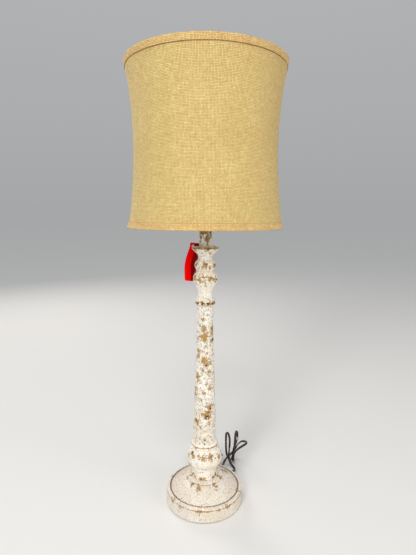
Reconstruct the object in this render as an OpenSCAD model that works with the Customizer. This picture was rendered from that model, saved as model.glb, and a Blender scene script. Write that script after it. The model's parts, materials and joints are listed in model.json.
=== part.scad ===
// Buffet table lamp: a turned candlestick column on a round base, with a waisted burlap drum shade.
// Millimetres, +Z up. The origin is the centre of the base's underside, on the table.

/* [Base] */
// Radius of the base
base_r = 77; // [70:0.5:90]
// Height of the base's upright side, up to the groove under its lip
base_side_h = 24.4; // [20:0.2:34]
// Rise of the base's dome above the lip's groove
dome_rise = 22.7; // [16:0.1:28]
// Thickness of the felt under the base
felt_t = 1.5; // [1:0.5:3]

/* [Column] */
// Largest radius of the lower bulb turning
bulb_turning_r = 35; // [32:0.2:42]
// Height of the tapered shaft
shaft_h = 277.8; // [200:0.2:360]
// Radius of the shaft's foot
shaft_foot_r = 22.7; // [21:0.1:24]
// Radius of the shaft's top
shaft_top_r = 15.8; // [14.8:0.1:18]
// Largest radius of the vase turning
vase_r = 23.4; // [21:0.1:27]
// Largest radius of the upper ball
ball_r = 20.3; // [18:0.1:23]
// Radius of the candle cup's rim
cup_r = 26.1; // [24:0.1:30]
// Radius of the neck above the candle cup
neck_r = 11.7; // [10.5:0.1:13]
// Height of the neck above the candle cup
neck_h = 47.8; // [40:0.1:60]

/* [Shade] */
// Outer radius of the shade's top edge
shade_top_r = 142.8; // [130:0.2:160]
// Outer radius of the shade's waist
shade_waist_r = 129.1; // [118:0.1:135]
// Outer radius of the shade's bottom edge
shade_foot_r = 143.1; // [130:0.1:165]
// Height of the shade
shade_h = 283.6; // [250:0.2:295]
// Height of the waist above the shade's bottom edge
waist_h = 146.8; // [110:0.2:160]
// Width of the trim bands
band_w = 11; // [9:0.1:20]
// Depth of the fitter's hub below the shade's top edge
hub_drop = 13.3; // [10:0.1:25]

/* [Fittings] */
// Height of the harp from its saddle to the hub's seat
harp_h = 254; // [245:1:260]
// Greatest half-width of the harp
harp_half = 52; // [46:1:60]
// Outer radius of the threaded pipe
pipe_r = 4.9; // [4.7:0.05:5.1]
// Radius of the light bulb
light_r = 30; // [27:0.5:32]

/* [Cord] */
// Width of the flat mains cord
cord_w = 5; // [4.6:0.1:5.2]

/* [Hidden] */
$fn = 96;

// Colours
cream = [0.93, 0.9, 0.83];
burlap = [0.86, 0.72, 0.46];
brass = [0.78, 0.62, 0.32];
steel = [0.7, 0.7, 0.72];
cord_brown = [0.13, 0.09, 0.08];

// Gaps: between parts that move on each other, and round a fixed part in its hole
run_gap = 0.3;
fit_gap = 0.1;

// Heights of the column's joints, each at the bottom of the part that it names
groove_h = 4.2;
dome_foot = base_side_h + groove_h + 0.6;
dome_top = dome_foot + dome_rise;
ring_rise = 3;
z_turning = dome_top + ring_rise;
turning_h = 62.7;
z_collar = z_turning + turning_h;
collar_h = 11;
z_shaft = z_collar + collar_h;
z_astragal = z_shaft + shaft_h;
astragal_h = 17;
z_vase = z_astragal + astragal_h;
vase_h = 50.3;
z_ball = z_vase + vase_h;
ball_h = 25.1;
z_cup = z_ball + ball_h;
cup_h = 19.4;
z_neck = z_cup + cup_h;
z_ring = z_neck + neck_h;
ring_t = 1.5;
z_saddle = z_ring + ring_t;
saddle_t = 1.5;
z_socket = z_saddle + saddle_t;
stud_t = 1.5;
z_hub = z_saddle + harp_h + stud_t + run_gap;
hub_t = 1.6;
shade_top = z_hub + hub_t + hub_drop;
shade_foot = shade_top - shade_h;
column_bore = pipe_r + 0.4;

// Inside the base
pocket_r = 52;
pocket_top = 30;
weight_t = 10;
washer_t = 1.5;
nut_h = 4;
z_weight = pocket_top - weight_t;
z_washer = z_weight - washer_t;
z_nut = z_washer - nut_h;
z_pipe = z_nut - 0.5;
exit_z = 7;
exit_turn = 50;
bushing_r = 4;
bushing_flange_r = 6.2;
bushing_out = 14;
exit_r = base_r + bushing_out;

// Lamp socket, with heights above its own foot
socket_r = 16.6;
cap_h = 14.5;
shell_h = 59;
body_z = 17;
body_h = 16;
stem_z = 25;
screw_z = body_z + body_h;
stem_r = 1.6;
pipe_top = z_socket + 9;

// Light bulb, with heights above its own foot
z_bulb = z_socket + screw_z + 4.2;
bulb_cap_r = 13;
bulb_cap_h = 25;
bulb_h = 108;

// Shade wall
skin_t = 1.3;
liner_t = 0.7;
band_t = 0.9;
ring_wire_r = 1.6;
ring_gap = 1.2;
ring_room = 4.6;
seam_w_deg = 5.5;
arm_turns = [90, 210, 330];
arm_r = 1.7;
z_top_ring = shade_top - band_t - ring_wire_r - 0.1;

// Cord: the route's points lie on the table, stand up in three loops and come back to the coil
cord_r = cord_w / 2;
exit_point = [exit_r * cos(exit_turn), exit_r * sin(exit_turn), exit_z];
route = [
    [63.5, 75.6, 6.6], [67.5, 82, 4.6], [68.5, 90, 3], [66.5, 97, 2.8], [62, 103.5, 4.6],
    [58, 109, 11], [56, 112, 23], [56.8, 112.5, 38], [57.7, 112.5, 55], [57, 116.6, 65.6],
    [54.1, 126.6, 70.3], [51.3, 136.7, 65.6], [50.4, 141, 55], [50.4, 141.3, 38],
    [50.8, 141, 22], [52.5, 137.5, 10], [56.5, 130, 4.2], [61, 121, 6.4], [64.5, 114.5, 17],
    [66.5, 113, 34], [69, 113, 49], [70, 113.8, 61], [71, 118.8, 70], [73.3, 128, 73.2],
    [75.8, 137.8, 69], [77.6, 143, 58], [76.5, 144, 43], [73, 144.3, 30], [70.5, 144, 18],
    [69, 140, 8], [68, 131.5, 3.4], [67, 120, 3.6], [65.5, 110.8, 11], [65.8, 107.5, 23],
    [69.5, 107, 33.5], [76, 107, 41.5], [84.5, 107.5, 47.6], [92.3, 110.8, 50.8],
    [97.4, 118.5, 49.8], [98, 128, 47], [93.8, 135.6, 44.6], [86.5, 138.5, 42.2], [79.5, 137, 37],
    [73, 135, 28], [67, 132, 20], [60, 128, 15], [53, 122.5, 12], [47, 115, 8],
    [42, 105, 4.2], [34, 95, 2.7], [23, 86, 2.6], [9, 80.5, 2.6]
];
coil_at = [-2, 113];
coil_in = 23.2;
coil_out = 34.9;
coil_h = 2 * cord_w + 0.6;
end_route = [
    [-35.2, 115, 7.9], [-33.4, 125, 9.2], [-27.5, 132.5, 12], [-18, 133.7, 14.8],
    [-7, 130.4, 15.8], [1, 128.4, 15.8]
];
plug_at = [1, 128.4, 15.8];
plug_turn = -14;
plug_len = 24;
label_at = [76.9, 143.6, 43];
label_h = 9;

// Hanging tag: its curl's centre at the tag's foot, and the loop that holds it
tag_foot = [-40, 36.8, 451.6];
tag_curl = 20;
tag_arc = 80;
tag_t = 0.8;
tag_h = 75;
tag_lean = 8.5;
tag_holes = [[64, 71], [17.2, 69.2]];    // [angle round the curl, height] of the two holes
tag_hole_r = 2.4;
loop_at = [-4.2, 7, z_neck + 1];
loop_r = 22.4;

// Points from p towards q, without q, along an arc whose middle stands h outside the straight line
function bow(p, q, h, n = 8) =
    let (d = q - p, l = norm(d), t = d / l, out = [t.y, -t.x])
    abs(h) < 0.01 ? [p] :
    let (r = (l * l / 4 + h * h) / (2 * h), c = (p + q) / 2 + out * (h - r), half = asin(l / 2 / r))
    [for (i = [0:n - 1]) let (a = half * (2 * i / n - 1)) c + r * (out * cos(a) + t * sin(a))];

// An outline from rows of [radius, height, bulge of the stretch that follows]
function outline(rows) = [
    for (i = [0:len(rows) - 1])
        let (p = [rows[i][0], rows[i][1]])
        each (i == len(rows) - 1 ? [p] : bow(p, [rows[i + 1][0], rows[i + 1][1]], rows[i][2]))
];

// The same outline moved out by dr, for the walls of the shade
function moved_out(points, dr) = [for (p = points) [p.x + dr, p.y]];
function reversed(points) = [for (i = [len(points) - 1:-1:0]) points[i]];

// A turned solid with a bore up its middle
module turned(rows, bore = column_bore) {
    last = rows[len(rows) - 1];
    rotate_extrude()
        polygon(concat([[bore, rows[0][1]]], outline(rows), [[bore, last[1]]]));
}

// A tube between two heights
module tube(r_out, r_in, h) {
    difference() {
        cylinder(h = h, r = r_out);
        translate([0, 0, -1]) cylinder(h = h + 2, r = r_in);
    }
}

// Points on a smooth curve through p, each stretch cut into `per` parts
function spline_at(a, b, c, d, t) =
    0.5 * ((2 * b) + (c - a) * t + (2 * a - 5 * b + 4 * c - d) * t * t
           + (3 * b - a - 3 * c + d) * t * t * t);
function smooth(p, per) = [
    for (i = [0:len(p) - 2], k = [0:per - 1])
        spline_at(p[max(i - 1, 0)], p[i], p[i + 1], p[min(i + 2, len(p) - 1)], k / per),
    p[len(p) - 1]
];

// A tube of radius r swept along a path, its rings turned so that the tube doesn't twist
function unit(v) = v / norm(v);
function squared(u, t) = unit(u - t * (u * t));
function tangents(p) =
    [for (i = [0:len(p) - 1]) unit(p[min(i + 1, len(p) - 1)] - p[max(i - 1, 0)])];
module swept(path, r, sides) {
    t = tangents(path);
    n = len(path);
    start = abs(t[0].z) > 0.7 ? [1, 0, 0] : [0, 0, 1];
    ups = [for (i = 0, u = squared(start, t[0]); i < n; i = i + 1, u = squared(u, t[min(i, n - 1)])) u];
    points = [
        for (i = [0:n - 1], k = [0:sides - 1])
            let (a = 360 * k / sides, side = cross(t[i], ups[i]))
            path[i] + r * (cos(a) * ups[i] + sin(a) * side)
    ];
    walls = [
        for (i = [0:n - 2], k = [0:sides - 1])
            let (k2 = (k + 1) % sides, a = i * sides, b = a + sides)
            each [[a + k, b + k, b + k2], [a + k, b + k2, a + k2]]
    ];
    foot = [[for (k = [0:sides - 1]) k]];
    head = [[for (k = [sides - 1:-1:0]) (n - 1) * sides + k]];
    polyhedron(points, concat(walls, foot, head));
}

// The direction in which the cord leaves the base, as the local +X
module at_exit() {
    rotate([0, 0, exit_turn])
        translate([0, 0, exit_z])
            rotate([0, 90, 0])
                children();
}

// ---- Base ----

module base() {
    r = base_r;
    lip = base_side_h;
    color(cream)
        difference() {
            turned([
                [r - 0.7, felt_t, 0.2], [r + 0.4, felt_t + 1, 0], [r - 0.7, lip - 0.9, 0.2],
                [r - 1.6, lip, -0.1], [r - 1, lip + 0.9, 1.3], [r - 4.4, dome_foot + 0.6, 0.3],
                [r - 6.8, dome_foot + 0.6, 0], [r - 7.9, lip + groove_h, 0], [r - 8.8, dome_foot, 2],
                [35.2, dome_top - 0.8, 0], [36.6, dome_top, 0.2], [36.3, dome_top + 1.4, 0.4],
                [34.6, dome_top + 2.7, 0.2], [28, z_turning, 0]
            ]);
            cylinder(h = pocket_top, r = pocket_r);
            at_exit()
                translate([0, 0, pocket_r - 5])
                    cylinder(h = base_r, r = bushing_r + fit_gap);
        }
}

module base_weight() {
    color([0.25, 0.25, 0.27])
        translate([0, 0, z_weight])
            tube(pocket_r - 2, column_bore, weight_t);
}

module felt_pad() {
    color([0.2, 0.28, 0.22])
        cylinder(h = felt_t, r = base_r - 2);
}

module lower_washer() {
    color(steel)
        translate([0, 0, z_washer])
            tube(12, column_bore, washer_t);
}

module lower_nut() {
    color(brass)
        translate([0, 0, z_nut])
            difference() {
                cylinder(h = nut_h, r = 8.1, $fn = 6);
                translate([0, 0, -1])
                    cylinder(h = nut_h + 2, r = pipe_r + 0.02);
            }
}

module threaded_pipe() {
    color(steel)
        translate([0, 0, z_pipe])
            tube(pipe_r, pipe_r - 1.5, pipe_top - z_pipe);
}

module cord_bushing() {
    flange = base_r + 0.5;
    color([0.1, 0.1, 0.1])
        at_exit()
            rotate_extrude()
                polygon([
                    [cord_r + fit_gap, base_r - 14], [bushing_r, base_r - 14],
                    [bushing_r, flange], [bushing_flange_r, flange], [bushing_flange_r, flange + 1.2],
                    [bushing_flange_r - 0.8, flange + 2], [bushing_r + 0.4, flange + 2],
                    [cord_r + 0.9, exit_r], [cord_r + fit_gap, exit_r]
                ]);
}

// ---- Turned column ----

module bulb_turning() {
    top = turning_h;
    color(cream)
        translate([0, 0, z_turning])
            turned([
                [25.8, 0, 0.2], [26.2, 1.2, 0.2], [25.4, 2.6, -0.3], [23.6, 14, 0], [23.5, 16.4, 0.3],
                [22.6, 18.8, 0], [22.5, 20.2, 3.2], [bulb_turning_r, 36.4, 1.7], [26.8, top - 2.6, -0.3],
                [25.4, top - 1.2, 0], [25.2, top, 0]
            ]);
}

module collar_ring() {
    color(cream)
        translate([0, 0, z_collar])
            turned([
                [24.8, 0, 0], [26.5, 0.6, 0.4], [26.8, 3.2, 0.5], [25.7, 9.4, 0.5],
                [23.4, collar_h, 0]
            ]);
}

module shaft() {
    mid_r = shaft_top_r + 0.53 * (shaft_foot_r - shaft_top_r);
    color(cream)
        translate([0, 0, z_shaft])
            turned([
                [shaft_foot_r, 0, 0.35], [mid_r, 0.47 * shaft_h, -0.55],
                [shaft_top_r, shaft_h - 6.4, 1], [13.6, shaft_h, 0]
            ]);
}

module astragal_ring() {
    color(cream)
        translate([0, 0, z_astragal])
            turned([
                [13.6, 0, -0.3], [16.5, 2, 2.2], [17.5, 7.1, 0], [17.5, 7.7, 2.7],
                [16.7, 13.8, 0], [16.3, 15.4, -0.3], [14.6, astragal_h, 0]
            ]);
}

module vase_turning() {
    color(cream)
        translate([0, 0, z_vase])
            turned([
                [14.6, 0, -0.6], [13.4, 9.6, -0.9], [18.4, 22.6, 1.2], [vase_r, 35.6, 2.5],
                [14.3, 48.6, -0.4], [14.1, vase_h, 0]
            ]);
}

module ball_turning() {
    color(cream)
        translate([0, 0, z_ball])
            turned([
                [14.1, 0, 1.7], [ball_r, 11.1, 1.5], [14.6, 20.1, -0.3], [13.4, ball_h, 0]
            ]);
}

module candle_cup() {
    color(cream)
        translate([0, 0, z_cup])
            turned([
                [13.4, 0, -1], [17.4, 8.2, 0], [18.2, 8.8, 0], [cup_r - 0.9, 16.4, 0.2],
                [cup_r, 17.7, 0.3], [cup_r - 0.4, 18.8, 0.1], [cup_r - 1.4, cup_h, -0.6],
                [neck_r + 1.2, cup_h - 0.5, 0], [neck_r, cup_h, 0]
            ]);
}

module neck() {
    color([0.6, 0.52, 0.42])
        translate([0, 0, z_neck])
            turned([
                [neck_r, 0, 0], [neck_r, neck_h - 1, 0.2], [neck_r - 1, neck_h, 0]
            ]);
}

// ---- Socket and its fittings ----

module check_ring() {
    color(brass)
        translate([0, 0, z_ring])
            turned([[12.6, 0, 0], [13.4, 0.4, 0.2], [12.8, ring_t, 0]]);
}

// A flat strip under the socket, whose ends turn up into two prongs for the harp
module harp_saddle() {
    reach = 28.5;
    prong_h = 17;
    bend = 3.5;
    color(brass)
        difference() {
            translate([0, 3, z_saddle])
                rotate([90, 0, 0])
                    linear_extrude(height = 6)
                        difference() {
                            union() {
                                translate([-reach, bend]) square([2 * reach, prong_h - bend]);
                                translate([bend - reach, 0]) square([2 * (reach - bend), bend]);
                                for (s = [-1, 1])
                                    translate([s * (reach - bend), bend]) circle(r = bend);
                            }
                            translate([saddle_t - reach, bend])
                                square([2 * (reach - saddle_t), prong_h]);
                            translate([bend - reach, saddle_t])
                                square([2 * (reach - bend), prong_h]);
                            for (s = [-1, 1])
                                translate([s * (reach - bend), bend]) circle(r = bend - saddle_t);
                        }
            translate([0, 0, z_saddle - 1])
                cylinder(h = saddle_t + 2, r = column_bore);
        }
}

module socket_cap() {
    wall = 0.7;
    color(brass)
        translate([0, 0, z_socket])
            rotate_extrude()
                polygon(concat(
                    [[pipe_r + 0.02, 0]],
                    outline([[9, 0, 0], [9, 2.5, 2.6], [socket_r, 10.5, 0], [socket_r, cap_h, 0]]),
                    reversed(outline([
                        [9 - wall, 3.2, 2.6], [socket_r - wall, 10.9, 0], [socket_r - wall, cap_h, 0]
                    ])),
                    [[pipe_r + 0.02, 3.2]]
                ));
}

module socket_shell() {
    wall = 0.6;
    color(brass)
        translate([0, 0, z_socket])
            difference() {
                turned([
                    [socket_r, cap_h, 0.1], [socket_r + 0.7, cap_h + 1, 0.1], [socket_r, cap_h + 2, 0],
                    [socket_r, shell_h - 3, 0.2], [socket_r + 0.9, shell_h - 0.6, 0.3],
                    [socket_r + 0.2, shell_h, 0]
                ], socket_r - wall);
                translate([0, 0, stem_z])
                    rotate([90, 0, 0])
                        cylinder(h = 2 * socket_r, r = stem_r + 1);
            }
}

module socket_insulator() {
    wall = 0.7;
    r = socket_r - 0.75;
    color([0.75, 0.68, 0.55])
        translate([0, 0, z_socket])
            difference() {
                translate([0, 0, cap_h + 0.5])
                    tube(r, r - wall, shell_h - cap_h - 2);
                translate([0, 0, stem_z])
                    rotate([90, 0, 0])
                        cylinder(h = 2 * socket_r, r = stem_r + 1);
            }
}

module socket_body() {
    color([0.16, 0.12, 0.1])
        translate([0, 0, z_socket + body_z])
            difference() {
                cylinder(h = body_h, r = 14.6);
                for (s = [-1, 1])
                    translate([s * 17, 0, 0])
                        cube([10, 40, 12], center = true);
                translate([0, 0, stem_z - body_z])
                    rotate([90, 0, 0])
                        translate([0, 0, 4])
                            cylinder(h = 20, r = stem_r + run_gap);
                for (s = [-1, 1])
                    translate([0, 0, 2.8])
                        rotate([0, s * 90, 0])
                            translate([0, 0, 7])
                                cylinder(h = 10, r = 1.5);
                translate([0, 0, body_h - 2])
                    cylinder(h = 3, r = 2.6);
            }
}

module screw_shell() {
    color(brass)
        translate([0, 0, z_socket + screw_z])
            difference() {
                cylinder(h = 24, r = 14.1);
                translate([0, 0, 0.6])
                    cylinder(h = 24, r = bulb_cap_r + run_gap + 0.1);
                translate([0, 0, -1])
                    cylinder(h = 3, r = 4.5);
            }
}

module centre_contact() {
    color(brass)
        translate([0, 0, z_socket + screw_z - 2])
            turned([[2.5, 0, 0], [2.5, 3.6, 0], [1.6, 4.6, 0]], 0);
}

module terminal_screws() {
    color(brass)
        for (s = [-1, 1])
            translate([0, 0, z_socket + body_z + 2.8])
                rotate([0, s * 90, 0]) {
                    translate([0, 0, 8])
                        cylinder(h = 4, r = 1.45);
                    translate([0, 0, 12])
                        difference() {
                            cylinder(h = 1.7, r = 2.7);
                            translate([-0.4, -4, 1])
                                cube([0.8, 8, 2]);
                        }
                }
}

module switch_stem() {
    color(brass)
        translate([0, -4.5, z_socket + stem_z])
            rotate([90, 0, 0])
                cylinder(h = 29, r = stem_r);
}

// The turn knob: a round boss with an oval grip across its end
module switch_knob() {
    color([0.12, 0.09, 0.07])
        translate([0, -26, z_socket + stem_z])
            rotate([90, 0, 0])
                difference() {
                    union() {
                        turned([[3.6, 0, 0.2], [4.2, 2, 0], [4.2, 8, 0], [3.2, 9.5, 0]], 0);
                        translate([0, 0, 5])
                            hull()
                                for (s = [-1, 1])
                                    translate([s * 5, 0, 0])
                                        cylinder(h = 10, r1 = 2.6, r2 = 2, $fn = 32);
                    }
                    translate([0, 0, -1])
                        cylinder(h = 8.5, r = stem_r);
                }
}

// ---- Light bulb ----

module bulb_cap() {
    pitch = 3.6;
    color([0.75, 0.75, 0.77])
        translate([0, 0, z_bulb])
            turned(concat(
                [[6, 0, 0], [10.5, 2.4, 0], [bulb_cap_r - 0.9, 3.4, 0]],
                [for (i = [0:4]) each [
                    [bulb_cap_r - 0.9, 4 + i * pitch, 0.5],
                    [bulb_cap_r - 0.9, 4 + (i + 0.9) * pitch, 0]
                ]],
                [[bulb_cap_r - 0.4, bulb_cap_h - 2.4, 0], [bulb_cap_r, bulb_cap_h, 0]]
            ), 0);
}

module bulb_contact() {
    color(steel)
        translate([0, 0, z_bulb - 1.2])
            turned([[2.6, 0, 0.2], [4, 0.7, 0], [4, 1.2, 0]], 0);
}

module bulb_glass() {
    wall = 0.8;
    widest = bulb_h - light_r - 2;
    neck_w = bulb_cap_r - 0.2;
    outer = outline([
        [neck_w, bulb_cap_h, -0.5], [16, bulb_cap_h + 12, -0.6], [light_r - 3.4, widest - 14, 1.2],
        [light_r, widest, 8.7], [0, widest + light_r + 2, 0]
    ]);
    inner = outline([
        [neck_w - wall, bulb_cap_h, -0.5], [16 - wall, bulb_cap_h + 12, -0.6],
        [light_r - 3.4 - wall, widest - 14, 1.2], [light_r - wall, widest, 8.5],
        [0, widest + light_r + 2 - wall, 0]
    ]);
    color([0.97, 0.96, 0.92])
        translate([0, 0, z_bulb])
            rotate_extrude()
                polygon(concat(outer, reversed(inner)));
}

// ---- Harp ----

harp_foot = 28.5 - saddle_t / 2;
harp_wire_r = 1.9;
harp_top = z_saddle + harp_h - harp_wire_r;

// One side of the harp's wire, from its foot to the middle of its top
harp_side = outline([
    [harp_foot, z_saddle + 17.6, 0], [harp_foot, z_saddle + 34, -2.5],
    [harp_half - 3, z_saddle + 78, 4], [harp_half - 4, z_saddle + 168, 9],
    [15, harp_top - 3, 0.5], [9, harp_top, 0], [0, harp_top, 0]
]);

module harp_wire() {
    right = [for (p = harp_side) [p.x, 0, p.y]];
    left = [for (i = [len(harp_side) - 2:-1:0]) [-harp_side[i].x, 0, harp_side[i].y]];
    color(brass)
        swept(concat(right, left), harp_wire_r, 12);
}

module harp_stud() {
    color(brass)
        translate([0, 0, z_saddle + harp_h]) {
            cylinder(h = stud_t, r = 8);
            translate([0, 0, stud_t])
                cylinder(h = 15, r = 3.05);
            difference() {
                translate([-7, -3.5, -4.8])
                    cube([14, 7, 4.8]);
                translate([-8, 0, -harp_wire_r])
                    rotate([0, 90, 0])
                        cylinder(h = 16, r = harp_wire_r + 0.02);
            }
        }
}

module harp_sleeve(side) {
    color(brass)
        translate([side * harp_foot, 0, z_saddle + 5])
            turned([
                [4.4, 0, 0.2], [4.7, 1.6, 0], [4.7, 3, 0], [4.2, 4, 0], [4.2, 15, 0],
                [4.7, 16, 0], [4.7, 17.6, 0.2], [4.4, 19, 0]
            ], 3.4);
}

module left_sleeve() harp_sleeve(-1);
module right_sleeve() harp_sleeve(1);

// ---- Shade ----

// The shade's outer outline, from its bottom edge to its top edge, inside the bands' folds
shade_line = outline([
    [shade_foot_r, shade_foot + band_t, -0.6], [shade_foot_r - 4.1, shade_foot + 14, -1],
    [shade_waist_r + 1, shade_foot + waist_h - 41, -1],
    [shade_waist_r + 1.3, shade_foot + waist_h + 39, -0.9],
    [shade_top_r - 5.3, shade_top - 32, -0.1], [shade_top_r, shade_top - band_t, 0]
]);

module wall_of_shade(out_from, out_to) {
    rotate_extrude($fn = 160)
        polygon(concat(moved_out(shade_line, out_to), reversed(moved_out(shade_line, out_from))));
}

module shade_skin() {
    color(burlap)
        wall_of_shade(-skin_t, 0);
}

module shade_liner() {
    color([0.95, 0.93, 0.87])
        wall_of_shade(-skin_t - liner_t, -skin_t);
}

// The overlap where the burlap's two ends meet, at the back
module shade_seam() {
    color(burlap)
        rotate([0, 0, 90 - seam_w_deg / 2])
            rotate_extrude(angle = seam_w_deg, $fn = 160)
                intersection() {
                    polygon(concat(moved_out(shade_line, 0.7), reversed(shade_line)));
                    translate([0, shade_foot + band_w + 0.2])
                        square([200, shade_h - 2 * band_w - 0.4]);
                }
}

// A trim band's section: burlap folded over the wall's edge and down inside the wire ring. rise is 1
// at the shade's top edge and -1 at its bottom edge.
module trim_band(edge_r, edge_z, rise) {
    wall = skin_t + liner_t;
    low = min(edge_z, edge_z - rise * band_w);
    fold = rise > 0 ? edge_z - band_t : edge_z;
    hem = 6;
    color(burlap)
        rotate_extrude($fn = 160) {
            intersection() {
                polygon(concat(moved_out(shade_line, band_t), reversed(shade_line)));
                translate([0, low])
                    square([200, band_w]);
            }
            translate([edge_r - wall - ring_room - band_t, fold])
                square([ring_room + wall + 2 * band_t, band_t]);
            translate([edge_r - wall - ring_room - band_t, min(edge_z, edge_z - rise * hem)])
                square([band_t, hem]);
        }
}

module top_band() trim_band(shade_top_r, shade_top, 1);
module bottom_band() trim_band(shade_foot_r, shade_foot, -1);

module wire_ring(edge_r, z) {
    color(brass)
        translate([0, 0, z])
            rotate_extrude($fn = 160)
                translate([edge_r - skin_t - liner_t - ring_wire_r - ring_gap, 0])
                    circle(r = ring_wire_r, $fn = 24);
}

module top_ring() wire_ring(shade_top_r, z_top_ring);
module bottom_ring() wire_ring(shade_foot_r, shade_foot + band_t + ring_wire_r + 0.1);

module shade_hub() {
    color(brass)
        translate([0, 0, z_hub])
            turned([[11, 0, 0.2], [11.6, 0.8, 0.2], [11, hub_t, 0]], 3.05 + run_gap);
}

// Three arms, each level from the hub and then sloping up to the top ring
module spider_arms() {
    sunk = 0.4;
    level = z_hub + hub_t + arm_r - sunk;
    ring = shade_top_r - skin_t - liner_t - ring_wire_r - ring_gap;
    elbow = ring - 20;
    color(brass)
        for (a = arm_turns)
            rotate([0, 0, a])
                swept([
                    [7.5, 0, level], [elbow - 4, 0, level], [elbow, 0, level + 1], [ring, 0, z_top_ring]
                ], arm_r, 16);
}

// A small turned ball finial with a blind hole for the stud
module finial() {
    hole_h = 13.5;
    foot = z_hub + hub_t + run_gap;
    color(brass)
        difference() {
            translate([0, 0, foot])
                turned([
                    [5.6, 0, 0.2], [5.8, 1.4, 0], [4.9, 2.2, -0.8], [5.2, 6, 0], [6.4, 7, 0.4],
                    [6.2, 8.4, 0], [5.2, 9, 0], [8.6, 15, 1.3], [5.4, 22, 1.2], [2, 23.6, -0.2],
                    [1.8, 24.4, 0.9], [0, 27, 0]
                ], 0);
            translate([0, 0, foot - 1])
                cylinder(h = hole_h + 1, r = 3.05 + run_gap);
        }
}

// ---- Cord ----

// The cord inside the lamp: in from the bushing, round a bend and up the pipe
module inner_cord() {
    bend = 6.5;
    path = concat(
        [[exit_r, 0, exit_z]],
        [for (a = [0:15:90]) [bend * (1 - sin(a)), 0, exit_z + bend * (1 - cos(a))]],
        [[0, 0, z_socket + 12]]
    );
    color(cord_brown)
        rotate([0, 0, exit_turn])
            swept(path, 2.3, 12);
}

// Its two cores, from the end of the outer sheath to the terminal screws
module inner_wires() {
    path = [[1.2, 12.95], [10.5, 14.2], [12.4, 15], [13, 16.2], [13, body_z + 0.1]];
    color([0.75, 0.5, 0.3])
        for (s = [-1, 1])
            swept([for (p = path) [s * p.x, 0, z_socket + p.y]], 0.9, 10);
}

module cord() {
    start = exit_point;
    color(cord_brown)
        swept(smooth(concat([start], route), 2), cord_r, 8);
}

module cord_end() {
    color(cord_brown)
        swept(smooth(end_route, 2), cord_r, 8);
}

module cord_coil() {
    color(cord_brown)
        translate([coil_at.x, coil_at.y, 0])
            rotate_extrude()
                polygon(outline([
                    [coil_in + 1, 0, 0], [coil_out - 1, 0, 0.3], [coil_out, 1, 0],
                    [coil_out, coil_h - 1, 0.3], [coil_out - 1, coil_h, 0], [coil_in + 1, coil_h, 0.3],
                    [coil_in, coil_h - 1, 0], [coil_in, 1, 0.3], [coil_in + 1, 0, 0]
                ]));
}

// A short blank label wrapped round the cord, high on the second loop
module cord_label() {
    color([0.95, 0.95, 0.95])
        translate(label_at)
            tube(cord_r + 0.7, cord_r + 0.1, label_h);
}

// A wire tie round the coil's turns, on its left side
module coil_tie() {
    t = 0.8;
    gap = 0.15;
    w = coil_out - coil_in;
    color([0.92, 0.92, 0.9])
        translate([coil_at.x - (coil_in + coil_out) / 2, coil_at.y, 0])
            rotate([90, 0, 0])
                translate([0, 0, -2])
                    linear_extrude(height = 4)
                        difference() {
                            translate([-w / 2 - t, 0])
                                square([w + 2 * t, coil_h + t]);
                            translate([-w / 2 - gap, -1])
                                square([w + 2 * gap, coil_h + 1 + gap]);
                        }
}

// The plug lies on the coil, its blades level
module at_plug() {
    translate(plug_at)
        rotate([0, 0, plug_turn])
            children();
}

module plug_body() {
    color(cord_brown)
        at_plug()
            hull() {
                rotate([0, 90, 0])
                    cylinder(h = 2, r = cord_r + 0.8, $fn = 32);
                for (s = [-1, 1])
                    translate([8, s * 5.5, 0])
                        rotate([0, 90, 0])
                            cylinder(h = plug_len - 8, r = 5, $fn = 32);
            }
}

module plug_blades() {
    blade_l = 17;
    color(steel)
        at_plug()
            for (s = [-1, 1])
                translate([plug_len - 0.01, s * 6.35, 0])
                    rotate([90, 0, 0])
                        translate([0, 0, -0.75])
                            linear_extrude(height = 1.5)
                                difference() {
                                    polygon([
                                        [0, -3.2], [blade_l - 2, -3.2], [blade_l, -1.6],
                                        [blade_l, 1.6], [blade_l - 2, 3.2], [0, 3.2]
                                    ]);
                                    translate([blade_l - 4.5, 0])
                                        circle(r = 1.5, $fn = 24);
                                }
}

// ---- Hanging tag ----

// A blank strip, curled along its length, that leans out over the candle cup
module hang_tag() {
    color([0.85, 0.05, 0.05])
        translate([tag_foot.x, tag_foot.y, tag_foot.z])
            rotate([0, tag_lean, 0])
                rotate([0, 0, -90])
                    difference() {
                        rotate_extrude(angle = tag_arc)
                            translate([tag_curl, 0])
                                square([tag_t, tag_h]);
                        for (hole = tag_holes)
                            rotate([0, 0, hole[0]])
                                translate([0, 0, hole[1]])
                                    rotate([0, 90, 0])
                                        cylinder(h = 60, r = tag_hole_r, $fn = 24);
                    }
}

// The tag's clear loop, slack round the neck
module tag_loop() {
    color([0.9, 0.9, 0.9])
        translate([loop_at.x, loop_at.y, loop_at.z])
            rotate_extrude()
                translate([loop_r, 0])
                    circle(r = 0.5, $fn = 16);
}

base();
base_weight();
felt_pad();
lower_washer();
lower_nut();
threaded_pipe();
cord_bushing();
bulb_turning();
collar_ring();
shaft();
astragal_ring();
vase_turning();
ball_turning();
candle_cup();
neck();
check_ring();
harp_saddle();
socket_cap();
socket_shell();
socket_insulator();
socket_body();
screw_shell();
centre_contact();
terminal_screws();
switch_stem();
switch_knob();
bulb_cap();
bulb_contact();
bulb_glass();
harp_wire();
harp_stud();
left_sleeve();
right_sleeve();
shade_hub();
spider_arms();
top_ring();
bottom_ring();
shade_liner();
shade_skin();
shade_seam();
top_band();
bottom_band();
finial();
inner_cord();
inner_wires();
cord();
cord_coil();
cord_end();
cord_label();
coil_tie();
plug_body();
plug_blades();
hang_tag();
tag_loop();
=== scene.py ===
"""Buffet table lamp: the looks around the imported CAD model, in metres, +Z up, the base's underside at z 0."""
import json
import math
from math import cos, hypot, pi, radians, sin

import bmesh
import bpy
import numpy as np
from mathutils import Matrix, Vector


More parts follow.
